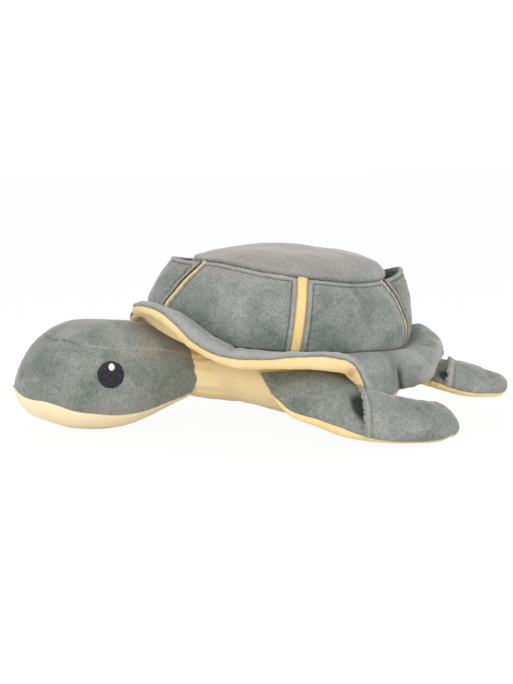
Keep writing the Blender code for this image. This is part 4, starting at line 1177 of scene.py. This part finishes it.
# share of the length from the nose, of the height to the top and to the underside, of the half
# width, then the angles of the crown's seam and of the chin's seam in degrees
headRings = np.array([
    (0.0, 0.41, 0.41, 0.0, 89, -19),
    (0.024, 0.555, 0.282, 0.29, 82, -24),
    (0.052, 0.650, 0.211, 0.42, 76, -25),
    (0.095, 0.757, 0.147, 0.57, 69, -25),
    (0.164, 0.868, 0.093, 0.725, 66, -26),
    (0.240, 0.944, 0.046, 0.84, 55, -29),
    (0.328, 0.990, 0.012, 0.93, 45, -33),
    (0.443, 1.0, 0.0, 0.988, 40, -36),
    (0.560, 0.996, 0.003, 1.0, 37, -40),
    (0.676, 0.982, 0.038, 0.966, 36.5, -43),
    (0.790, 0.930, 0.110, 0.885, 38, -47),
    (0.885, 0.840, 0.190, 0.78, 42, -49),
    (1.0, 0.700, 0.285, 0.64, 48, -50),
])
headMiddle = np.array([-170 * mm, 0, 42 * mm])
# first and last border of each panel in degrees, from the chin's seam and half the crown's width
panelBorders = {
    "head_side_left": lambda chin, half: (chin, 90 - half),
    "head_side_right": lambda chin, half: (90 + half, 180 - chin),
    "head_crown": lambda chin, half: (90 - half, 90 + half),
    "head_chin": lambda chin, half: (180 - chin, 360 + chin),
}


# The head's sizes at a share of its length. The square root of the share is the curve's knot,
# so that the nose comes out round.
def headRow(along):
    return curveThrough(np.sqrt(headRings[:, 0]), headRings[:, 1:], np.sqrt(along))


# Middle height, half height and half width of the head's oval ring.
def ringSizes(row):
    s = headSizes
    middle = s["clearance"] + s["height"] * (row[..., 0] + row[..., 1]) / 2
    return middle, s["height"] * (row[..., 0] - row[..., 1]) / 2, s["width"] / 2 * row[..., 2]


# A point of the head's skin at a share of the length and an angle, 0 at the left and 90 at the top.
def headPoint(along, degrees, inset=0.0):
    s = headSizes
    middle, halfHeight, halfWidth = ringSizes(headRow(along))
    angle = np.radians(degrees)
    x = s["backX"] - s["length"] * (1 - along)
    x = x + s["backReach"] * ease(along, 0.78, 1) * (0.4 + 0.6 * ease(np.sin(angle), -1, 0.3))
    y = -np.maximum(halfWidth - inset, 0) * np.cos(angle)
    return np.stack([x, y, middle + np.maximum(halfHeight - inset, 0) * np.sin(angle)], -1)


# One panel of the head between two seams. Its borders sink into the seams, and the cloth next
# to them puckers a little. The neck's end turns inwards. The crown is nothing wide up to its
# blunt tip, then opens by a quarter round to the table's angle.
def makeHeadPanel(name, material, startAlong):
    s = headSizes
    root = math.sqrt(startAlong)
    along = (root + (1 - root) * crowded(s["rows"], 0.35))[:, None] ** 2
    row = headRow(along)
    widest = 90 - s["crownLeast"] - row[..., 3]
    half = s["crownLeast"] + widest * turnedEdge(along - s["crownStart"], s["crownTip"])
    first, last = panelBorders[name](row[..., 4], half)
    columns = crowded(s["columns"], 0.55)[None, :]
    grid = headPoint(along + 0 * columns, first + (last - first) * columns)
    normals = normalsOf(grid, headMiddle)
    low, back, left, right = borderDistances(grid)
    side = softLeast(left, right)
    groove = s["seamDepth"] * np.exp(-((side / (1.1 * mm)) ** 1.5))
    pucker = s["pucker"] * wave(low, s["puckerStep"], 2 * np.sin(low / (15 * mm)))
    pucker = pucker * hill(side, 4 * mm) * (1 - hill(side, 0.8 * mm))
    tucked = s["backTurn"] * (1 - turnedEdge(back, 2.8 * mm))
    soft = unevenness(grid, *s["soft"])
    outer = grid + normals * (soft + pucker - groove - tucked)[..., None]
    inner = grid - normals * (s["cloth"] + groove + tucked)[..., None]
    tip = 1 - ease(along, 0.3, 0.42) + 0 * side
    bare = tip * hill(side, 1.8 * mm) * (0.55 + unevenness(grid, (0.6, 3 * mm, 53)))
    # painted highlight: a thin pale line along the crown's seams behind the nose
    thread = 1.3 * (1 - tip) * hill(side, 0.8 * mm)
    dark = 0.3 * hill(side, 0.6 * mm)
    if name == "head_chin":
        # the chin's cream is lightened all over: painted light
        seam, pale = dark, 1.1 + 0 * side
    elif name == "head_crown":
        seam, pale = bare, thread
    else:
        upper = ease(columns if name == "head_side_left" else 1 - columns, 0.5, 0.6)
        seam, pale = dark * (1 - upper) + bare * upper, thread * upper
    piece = layer(name, outer, inner, marks={"seam": seam, "pale": pale})
    dress(piece, material, "head", name, fill=0.85)


# The fibre in the head: the skin's rings, drawn in by the cloth and a little more.
def makeHeadStuffing():
    along = np.linspace(0.02, 0.97, 30)[:, None]
    turn = np.linspace(0, 360, 48, endpoint=False)[None, :]
    rings = headPoint(along + 0 * turn, turn + 0 * along, headSizes["fillInset"])
    dress(body("head_stuffing", rings), fibreFill, "head", "head_stuffing", fill=0.85)


noseStart = 1e-6
makeHeadPanel("head_side_left", greyPlush, noseStart)
makeHeadPanel("head_side_right", greyPlush, noseStart)
makeHeadPanel("head_crown", greyPlush, headSizes["crownStart"] + 0.0005)
makeHeadPanel("head_chin", creamPlush, noseStart)
makeHeadStuffing()


# How far out the head's skin is at a point of its side view: the ring there is an oval, so y
# comes from the oval's formula.
def headSkinY(x, z, side):
    s = headSizes
    along = np.clip(1 - (s["backX"] - x) / s["length"], 0, 1)
    middle, halfHeight, halfWidth = ringSizes(headRow(along))
    share = np.clip((z - middle) / halfHeight, -1, 1)
    return side * halfWidth * np.sqrt(1 - share**2)


# An embroidered patch on the head's side: a round or oval pad with a full, soft border.
def makePatch(name, centreX, centreZ, halfX, halfZ, rise, side, material):
    reach = crowded(26, 0.5)[1:, None]
    turn = roundTurn(96)[None, :]
    wobble = 1 + 0.012 * np.sin(turn * 9 + 1) + 0.01 * np.sin(turn * 23)
    x = centreX + halfX * reach * np.cos(turn) * wobble
    z = centreZ + halfZ * reach * np.sin(turn) * wobble
    skin = np.stack([x, headSkinY(x, z, side), z], -1)
    normals = normalsOf(skin, headMiddle, True)
    dome = rise * np.sqrt(np.maximum(1 - reach**7, 0)) * (0.8 + 0.2 * (1 - reach**2))
    outer = skin + normals * (dome + unevenness(skin, (0.06 * mm, 2.2 * mm, 61)))[..., None]
    under = (skin - normals * mm)[::-1]
    dress(body(name, np.concatenate([outer, under])), material, "head", name)


# Both eyes: a round black pad, and a smaller, higher white one that stands proud of it.
def makeEyes():
    s, e = headSizes, eyeSizes
    middle, halfHeight, _ = ringSizes(headRow(np.array(e["along"])))
    x = s["backX"] - s["length"] * (1 - e["along"])
    z = middle + halfHeight * math.sin(e["turn"])
    for label, side in (("left", -1), ("right", 1)):
        black = (x, z, e["radius"], e["radius"], e["rise"])
        white = (x + e["glintX"], z + e["glintZ"], e["glintHalfX"], e["glintHalfZ"])
        makePatch(f"eye_{label}", *black, side, blackThread)
        makePatch(f"eye_glint_{label}", *white, e["rise"] + e["glintRise"], side, whiteThread)


# The thread's end at the nose, where the side panels and the chin meet: a few short strands
# that lean forwards at random.
def makeNoseThread():
    dice = np.random.default_rng(57)
    place = headPoint(np.array([0.004]), np.array([4.0]))[0]
    lean = unit(np.array([-1.0, -0.25, 0.05]) + dice.normal(0, 0.45, (7, 3)))
    side = unit(np.cross(lean, (0, 0, 1.0)))
    frames = np.stack([lean * 2.4 * mm, side * 0.4 * mm, np.cross(lean, side) * 0.4 * mm], 1)
    strands = repeated("nose_thread", place + lean * 0.5 * mm, frames, 1.6)
    dress(strands, greyPlush, "head")


makeNoseThread()
makeEyes()
print("head sewn")

neckSizes = {
    "jointX": -106 * mm,
    "frontX": -117 * mm,
    "rearX": -74 * mm,
    "middleZ": 43.1 * mm,
    "halfWidth": 26.4 * mm,
    "halfHeight": 17.6 * mm,
    "flareStart": -109 * mm,
    "flareLength": 35 * mm,
    "flareWidth": 17 * mm,
    "flareBelow": 6.2 * mm,
    "fullerBelow": 0.3 * mm,
    "flareAbove": 1.0 * mm,
    # painted light: how far the neck's cream is lightened
    "paintedLight": 0.4,
}


# The neck's sleeve in two lengths that meet at the joint: one runs from the torso to the neck,
# the other from the neck to the head. The oval rings widen with a power of the way to the torso.
def makeNeck():
    s = neckSizes
    turn = roundTurn(120)[None, :]
    for name, start, end in (
        ("neck_front", s["frontX"], s["jointX"]),
        ("neck_rear", s["jointX"], s["rearX"]),
    ):
        x = np.linspace(start, end, 40)[:, None] + 0 * turn
        flare = np.maximum(x - s["flareStart"], 0) / s["flareLength"]
        y = (s["halfWidth"] + s["flareWidth"] * flare**0.8) * np.cos(turn)
        below = s["fullerBelow"] + s["flareBelow"] * flare**0.6
        deeper = np.where(np.sin(turn) < 0, below, s["flareAbove"] * flare)
        z = s["middleZ"] + (s["halfHeight"] + deeper) * np.sin(turn)
        rings = np.stack([x, y, z], -1)
        normals = normalsOf(rings, ((start + end) / 2, 0, s["middleZ"]), True)
        crease = 0.35 * mm * np.sin(turn * 17 + 2 * np.sin(turn * 3))
        crease = crease + unevenness(rings, (0.4 * mm, 9 * mm, 71))
        rings = rings + normals * crease[..., None]
        piece = body(name, rings, marks={"pale": np.full(rings.shape[:2], s["paintedLight"])})
        dress(piece, creamPlush, None, "neck_sleeve", "neck_stuffing", fill=0.6)
        if name == "neck_front":
            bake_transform(piece)
        else:
            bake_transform(piece)


makeNeck()

flipperSizes = {
    "rows": 130,
    "endRows": 12,
    "columns": 80,
    "sag": 0.25,
    "lipLength": 0.7,  # in stations, the length over which the root's sewn lip thickens
    "lipMost": 0.996,
    "floor": 0.5 * mm,
    "skinFloor": 0.3 * mm,
    "cloth": 1.4 * mm,
    "seamDepth": 0.75 * mm,
    "pucker": 0.2 * mm,
    "puckerStep": 6 * mm,
    "hollowDepth": 4.5 * mm,
    "soft": ((0.5 * mm, 24 * mm, 91), (0.25 * mm, 9 * mm, 92)),
    "fillColumns": 40,
    "fillInset": 4.2 * mm,
    "fillLift": -1.4 * mm,
}
flipperPocketSizes = {
    "rows": 110,
    "columns": 100,
    "liftedRows": 3,
    "rise": 1.1 * mm,
    "sunk": 0.2 * mm,
    "floor": 0.8 * mm,
    "under": 0.25 * mm,
    "hem": 0.6 * mm,
    "stitchDepth": 0.5 * mm,
    "stitchPlace": 4.4 * mm,
    "foldDepth": 0.8 * mm,
    "foldPlace": 26 * mm,
    "ragged": (0.8 * mm, 2.2 * mm, 95),
    "soft": ((0.7 * mm, 22 * mm, 93), (0.3 * mm, 8 * mm, 94)),
}
frontSizes = {
    "length": 143 * mm,
    "spread": 26 * mm,
    "drop": 49 * mm,
    "thickness": 20 * mm,
    "hinge": np.array([-33 * mm, -79 * mm, 53 * mm]),
    "mouth": 4,  # the station where the pocket starts
    "seam": np.radians([30, 30, 34, 34, 20, 10, 6, 6, 6, 6]),
    "gape": 4 * mm,
    "mouthMiddle": 0.56,
    "mouthWidth": 0.2,
    "hollow": 1.0,
    "tipReach": 11 * mm,
}
rearSizes = {
    "length": 76 * mm,
    "width": 46 * mm,
    "thickness": 16 * mm,
    "drop": 11.5 * mm,
    "turn": math.radians(18),
    "splay": math.radians(8),
    "roll": math.radians(18),
    "height": 42.5 * mm,
    "clearance": 3 * mm,
    "mouth": 4,
    "seam": np.radians([14, 14, 14, 12, 8, 4, 0, 0, 0]),
    "gape": 1.6 * mm,
    "mouthMiddle": 0.74,
    "mouthWidth": 0.15,
    "hollow": 1.3,
    "tipReach": 10 * mm,
}
# inner edge along, out and down, outer edge along, out and down, then the thickness, as shares
frontStations = np.array([
    (-0.225, -0.62, 0.06, -0.185, 0.20, 0.34, 0.34),
    (-0.150, -0.36, 0.03, -0.105, 0.46, 0.60, 0.58),
    (-0.04, -0.115, 0.00, 0.02, 0.72, 0.745, 0.84),
    (0.10, 0.05, 0.03, 0.13, 0.90, 0.87, 1.0),
    (0.235, 0.12, 0.19, 0.25, 0.97, 0.945, 1.04),
    (0.36, 0.18, 0.35, 0.39, 1.0, 0.99, 1.03),
    (0.47, 0.16, 0.45, 0.55, 1.0, 1.0, 0.98),
    (0.56, 0.09, 0.51, 0.64, 0.95, 0.985, 0.94),
    (0.625, 0.04, 0.55, 0.695, 0.86, 0.94, 0.88),
])
# share of the length, inner and outer edge as shares of the width, then the thickness
rearStations = np.array([
    (-0.052, 0.33, -0.33, 0.15),
    (0.03, 0.36, -0.36, 0.36),
    (0.12, 0.40, -0.31, 0.80),
    (0.26, 0.43, -0.35, 0.95),
    (0.42, 0.43, -0.43, 1.0),
    (0.58, 0.38, -0.48, 1.0),
    (0.74, 0.30, -0.45, 0.92),
    (0.87, 0.20, -0.37, 0.8),
])


# The two edges and the half thickness of a front flipper at its stations. They spread out and
# draw in with the power 1.5 of the way along.
def frontRails(spread, drawIn):
    s = frontSizes
    rails = []
    for along, out, down in (frontStations[:, :3].T, frontStations[:, 3:6].T):
        bend = np.maximum(along, 0) ** 1.5
        x = s["hinge"][0] + along * s["length"] - drawIn * bend
        y = s["hinge"][1] - out * s["spread"] - spread * bend
        rails.append(np.stack([x, y, s["hinge"][2] - down * s["drop"]], -1))
    return rails[0], rails[1], frontStations[:, 6] * s["thickness"] / 2


# Turns points about an axis through the origin: the points by the cosine, their cross product
# with the axis by the sine, and their part along the axis by what the cosine leaves.
def turned(points, axis, angle):
    axis = unit(np.asarray(axis, float))
    across = np.cross(axis, points) * math.sin(angle)
    along = np.multiply.outer(points @ axis, axis) * (1 - math.cos(angle))
    return points * math.cos(angle) + across + along


# The same for a rear flipper, which leaves the torso square to its side at the hinge.
def rearRails(droop):
    s = rearSizes
    halfLength, halfWidth = torsoSizes["length"] / 2, torsoSizes["width"] / 2
    place = np.array([halfLength * math.cos(s["turn"]), -halfWidth * math.sin(s["turn"]), 0])
    normal = unit(place / (halfLength**2, halfWidth**2, 1))
    hinge = place + normal * s["clearance"] + (torsoSizes["centreX"], 0, s["height"])
    outward = turned(normal, (0, 0, 1), s["splay"])
    inboard = np.array([-normal[1], normal[0], 0])
    rolled = turned(inboard, outward, s["roll"])
    along = rearStations[:, :1]
    rails = []
    for edge in (rearStations[:, 1:2], rearStations[:, 2:3]):
        local = outward * along * s["length"] + rolled * edge * s["width"]
        local -= along * (0, 0, s["drop"])
        rails.append(hinge + turned(local, inboard, droop))
    return rails[0], rails[1], rearStations[:, 3] * s["thickness"] / 2


# The flipper's rails at any fraction of a station. Its thickness grows from the root's sewn lip
# as a quarter circle, and past the last station a rounded end shrinks in the same way.
def flipperFrames(rails, at, tipReach):
    s = flipperSizes
    last = len(rails[2]) - 1
    inside = np.minimum(at, last)
    inner, outer, half = (curveThrough(np.arange(last + 1), rail, inside) for rail in rails)
    across = (outer - inner) / 2
    width = np.linalg.norm(across, axis=-1, keepdims=True)
    way = across / width
    up = np.cross(way, np.array([1.0, 0, 0]))
    up = unit(up * np.where(up[..., 2:] < 0, -1, 1))
    beyond = np.clip(at - last, 0, 1)[..., None]
    tipWay = unit(rails[0][-1] + rails[1][-1] - rails[0][-3] - rails[1][-3])
    shrink = np.sqrt(np.maximum(1 - beyond**2, 0))
    lip = np.clip(1 - at / s["lipLength"], 0, s["lipMost"])[..., None]
    centre = (inner + outer) / 2 + tipWay * beyond * tipReach
    return centre, way, up, width * shrink, half[..., None] * shrink * np.sqrt(1 - lip**2)


# A point on the flipper: an oval section, at an angle from the outer edge over the top.
def flipperPoint(frames, angle, depth=0.0, lift=0.0):
    s = flipperSizes
    centre, way, up, width, half = (frame[:, None] for frame in frames)
    cos, sin = np.cos(angle)[..., None], np.sin(angle)[..., None]
    width = np.maximum(width - depth * 1.6, width * 0.3)
    half = np.maximum(half - depth, half * 0.2)
    fuller = 1 + s["sag"] * np.maximum(-sin, 0)
    place = centre + way * width * cos + up * (half * sin * fuller + lift)
    place[..., 2] = np.maximum(place[..., 2], s["floor"] + depth)
    return place


# The angle of the flipper's outer seam, straight between the values at its stations.
def seamAt(at, sizes):
    return np.interp(at, np.arange(len(sizes["seam"])), sizes["seam"])[:, None]


# A worn, cut edge of plush: short tufts of pile that stand off a line in a ragged row. Each one
# leans outwards, and by chance up and sideways.
def makeFringe(name, line, normals, outward, rides):
    dice = np.random.default_rng(81)
    length = lengthAlong(line)
    count = int(length[-1] / (0.34 * mm))
    at = np.sort(dice.uniform(0, length[-1], count))
    places, up, away = (readAlong(at, length, row) for row in (line, normals, outward))
    side = np.cross(up, away)
    lean = away + up * dice.normal(0.15, 0.5, (count, 1)) + side * dice.normal(0, 0.45, (count, 1))
    lean = unit(lean)
    side = unit(np.cross(lean, up))
    size = dice.uniform(1.5, 3.3, (count, 1)) * mm
    thick = dice.uniform(0.4, 0.75, (count, 1)) * mm
    frames = np.stack([lean * size, side * thick, np.cross(lean, side) * thick], 1)
    dress(repeated(name, places + lean * size * 0.25, frames, 1.6), greyPlush, rides)


# One flipper, on the left where side is 1 and on the right where it is -1: its two skins, which
# sink into their seams, the fibre and the pocket. The upper skin is hollow under the mouth.
def makeFlipper(name, rails, sizes, side):
    s = flipperSizes
    last = len(rails[2]) - 1
    flip = np.array([1, side, 1])
    roundEnd = last + np.sin(np.linspace(0, 1, s["endRows"]) * math.pi / 2)
    at = np.concatenate([np.linspace(0, last, s["rows"])[:-1], roundEnd])
    at[-1] = last + 1 - 1e-6
    frames = flipperFrames(rails, at, sizes["tipReach"])
    seam = seamAt(at, sizes)
    middle = frames[0].mean(axis=0)
    columns = crowded(s["columns"], 0.5)[None, :]
    for part, start, end, facing, material in (
        ("upper", math.pi, seam, 1, greyPlush),
        ("underside", seam, -math.pi, -1, creamPlush),
    ):
        grid = flipperPoint(frames, start + (end - start) * columns)
        normals = normalsFacing(grid, middle, facing)
        low, _, left, right = borderDistances(grid)
        edge = softLeast(left, right)
        groove = s["seamDepth"] * np.exp(-((edge / mm) ** 1.5))
        pucker = s["pucker"] * wave(low, s["puckerStep"]) * hill(edge, 4 * mm)
        soft, hollow = 0 * edge, 0 * edge
        if part == "upper":
            soft = unevenness(grid, *s["soft"]) * ease(edge, 0, 6 * mm)
            ahead = at[:, None] - sizes["mouth"]
            across = hill(columns - sizes["mouthMiddle"], 1.15 * sizes["mouthWidth"])
            hollow = across * ease(ahead, -sizes["hollow"], 0.1) * ease(edge, 1 * mm, 6 * mm)
        sunk = groove + s["hollowDepth"] * hollow
        outer = grid + normals * (soft + pucker - sunk)[..., None]
        inner = grid - normals * (s["cloth"] + sunk)[..., None]
        outer[..., 2] = np.maximum(outer[..., 2], s["skinFloor"])
        inner[..., 2] = np.maximum(inner[..., 2], s["skinFloor"] + 0.4 * mm)
        # darker seams, and painted shade: the hollow under the pocket's mouth is painted nearly
        # black for the shade inside it
        dark = 0.5 * hill(edge, 0.8 * mm) + 1.5 * ease(hollow, 0.3, 0.75)
        piece = layer(f"{name}_{part}", outer * flip, inner * flip, marks={"seam": dark})
        dress(piece, material, name, f"{name}_{part}", fill=0.6)
    few = [frame[10:-14:5] for frame in frames]
    core = flipperPoint(few, roundTurn(s["fillColumns"])[None, :], s["fillInset"], s["fillLift"])
    dress(body(f"{name}_stuffing", core * flip), fibreFill, name, f"{name}_stuffing", fill=0.5)
    makeFlipperPocket(name, rails, sizes, flip)


# The flipper's patch pocket: the upper side again, a little proud, with its mouth lifted in an
# arch that leans to the inner edge, a thick cut hem and a ragged row of pile along it.
def makeFlipperPocket(name, rails, sizes, flip):
    s = flipperPocketSizes
    count, start = len(rails[2]), sizes["mouth"]
    at = start + (count - start) * np.linspace(0, 1, s["rows"]) ** 1.15
    at = np.minimum(at, count - 0.02)
    frames = flipperFrames(rails, at, sizes["tipReach"])
    middle = frames[0].mean(axis=0)
    columns = crowded(s["columns"], 0.45)[None, :]
    grid = flipperPoint(frames, math.pi + (seamAt(at, sizes) - math.pi) * columns)
    lifted = np.maximum(1 - (at - start) / s["liftedRows"], 0)[:, None] ** 1.3
    arch = hill(columns - sizes["mouthMiddle"], sizes["mouthWidth"])
    arch = arch * ease(columns, 0, 0.12) * ease(1 - columns, 0, 0.12)
    half = s["columns"] // 2
    upward = normalsFacing(grid, middle)[:, half : half + 1]
    grid = grid + upward * (sizes["gape"] * lifted * arch)[..., None]
    normals = normalsFacing(grid, middle)
    low, far, left, right = borderDistances(grid)
    edge = softLeast(softLeast(left, right), far)
    groove = low - s["stitchPlace"]
    rise = s["rise"] * turnedEdge(edge, 2.5 * mm) - s["sunk"]
    hem = s["hem"] * hill(low - 1.6 * mm, 1.5 * mm) - s["stitchDepth"] * hill(groove, 1 * mm)
    ragged = unevenness(grid, s["ragged"]) * hill(low, 2.8 * mm)
    fold = s["foldDepth"] * hill(low - s["foldPlace"] - 0.25 * left, 4 * mm)
    soft = unevenness(grid, *s["soft"]) * ease(edge, 0, 6 * mm) - fold * ease(edge, 0, 7 * mm)
    outer = grid + normals * (rise + hem + ragged + soft)[..., None]
    inner = grid - normals * s["under"]
    outer[..., 2] = np.maximum(outer[..., 2], s["floor"])
    shade = 0.55 * hill(groove, 0.8 * mm) + 0.5 * hill(edge, 0.8 * mm)
    marks = {"seam": shade, "pale": 1.5 * hill(low - 1.2 * mm, 2.2 * mm)}
    piece = layer(f"{name}_pocket", outer * flip, inner * flip, marks=marks)
    dress(piece, greyPlush, name, f"{name}_pocket")
    kept = slice(6, -6)
    ways = normals[0, kept] * flip, unit(outer[0] - outer[3])[kept] * flip
    for row, label in ((0, "hem"), (3, "nap")):
        makeFringe(f"{name}_{label}", outer[row, kept] * flip, *ways, name)


makeFlipper("front_flipper_left", frontRails(0, 0), frontSizes, 1)
makeFlipper("front_flipper_right", frontRails(20 * mm, 16 * mm), frontSizes, -1)
makeFlipper("rear_flipper_left", rearRails(0), rearSizes, 1)
makeFlipper("rear_flipper_right", rearRails(math.radians(9)), rearSizes, -1)
print("flippers sewn")

stageSizes = {
    "half": 3.0,
    "thickness": 0.02,
    "directWhite": 0.95,  # how much of the floor is plain white where the camera sees it
    "skyLight": 0.71,
    "target": (-0.05, 0, 0.06),
    # place, size and power of each lamp
    "lamps": {
        "key": ((-0.6, -1.0, 0.8), 1.0, 7.8),
        "fill": ((0.9, -1.0, 0.45), 1.2, 4),
        "top": ((0.05, 0.35, 1.3), 1.1, 3.6),
    },
    "viewTurn": math.radians(10),
    "viewRise": math.radians(9),
    "viewTarget": Vector((-0.0562, 0, 0.062)),
    "viewReach": 1.3,
    "lens": 91.2,
    "film": 36,
}


# The paper under the toy: a plane that blends from rough paper to plain white by whether the
# camera sees it straight.
def makeStage():
    s = stageSizes
    steps = np.linspace(-1, 1, 25) * s["half"]
    x, y = np.meshgrid(steps, steps, indexing="ij")
    grid = np.stack([x, y, 0 * x], -1)
    floor = layer("floor", grid, grid - (0, 0, s["thickness"]))
    material, shader, root, place = newMaterial("floorPaper")
    grain = root.noise(place, 4 * mm, 3.0, 0.6)
    colour = root.mixed(grain, (0.93, 0.93, 0.93, 1), (0.97, 0.97, 0.97, 1))
    root.tree.links.new(colour.socket, shader.inputs["Base Color"])
    shader.inputs["Roughness"].default_value = 0.95
    shader.inputs["Specular IOR Level"].default_value = 0.0
    white = root.node("ShaderNodeEmission", None, {"Color": (1, 1, 1, 1), "Strength": 1.0})
    share = (root.node("ShaderNodeLightPath") * s["directWhite"]).clipped()
    mix = root.mixedShader(share, Wire(root.tree, shader.outputs[0]), white)
    root.tree.links.new(mix.socket, root.tree.nodes["Material Output"].inputs["Surface"])
    floor.data.materials.append(material)


# The room: an even light all round, that the camera itself sees as white.
def makeWorld():
    world = bpy.data.worlds.new("studio")
    bpy.context.scene.world = world
    world.use_nodes = True
    tree = world.node_tree
    back = tree.nodes["Background"]
    back.inputs["Color"].default_value = (1, 1, 1, 1)
    back.inputs["Strength"].default_value = stageSizes["skyLight"]
    root = Wire(tree)
    clear = root.node("ShaderNodeBackground", None, {"Color": (1, 1, 1, 1), "Strength": 1.0})
    mix = root.mixedShader(root.node("ShaderNodeLightPath"), Wire(tree, back.outputs[0]), clear)
    tree.links.new(mix.socket, tree.nodes["World Output"].inputs["Surface"])


# The camera: away from its target by a turn and a rise, at the reach.
def makeCamera():
    s = stageSizes
    turn, rise = s["viewTurn"], s["viewRise"]
    level = math.cos(rise)
    way = Vector((-math.sin(turn) * level, -math.cos(turn) * level, math.sin(rise)))
    view = bpy.data.cameras.new("camera")
    view.lens = s["lens"]
    view.sensor_width = s["film"]
    view.clip_start = 0.05
    camera = bpy.data.objects.new("camera", view)
    bpy.context.scene.collection.objects.link(camera)
    camera.location = s["viewTarget"] + way * s["viewReach"]
    camera.rotation_euler = way.to_track_quat("Z", "Y").to_euler()
    bpy.context.scene.camera = camera


# A round soft lamp at a place, turned to face the target.
def makeLight(name, place, size, power):
    light = bpy.data.lights.new(name, "AREA")
    light.shape = "DISK"
    light.size = size
    light.energy = power
    lamp = bpy.data.objects.new(name, light)
    bpy.context.scene.collection.objects.link(lamp)
    lamp.location = place
    way = Vector(place) - Vector(stageSizes["target"])
    lamp.rotation_euler = way.to_track_quat("Z", "Y").to_euler()


makeStage()
makeWorld()
makeCamera()
for name, values in stageSizes["lamps"].items():
    makeLight(name, *values)
print("stage lit")
bpy.context.scene.view_settings.view_transform = "Standard"
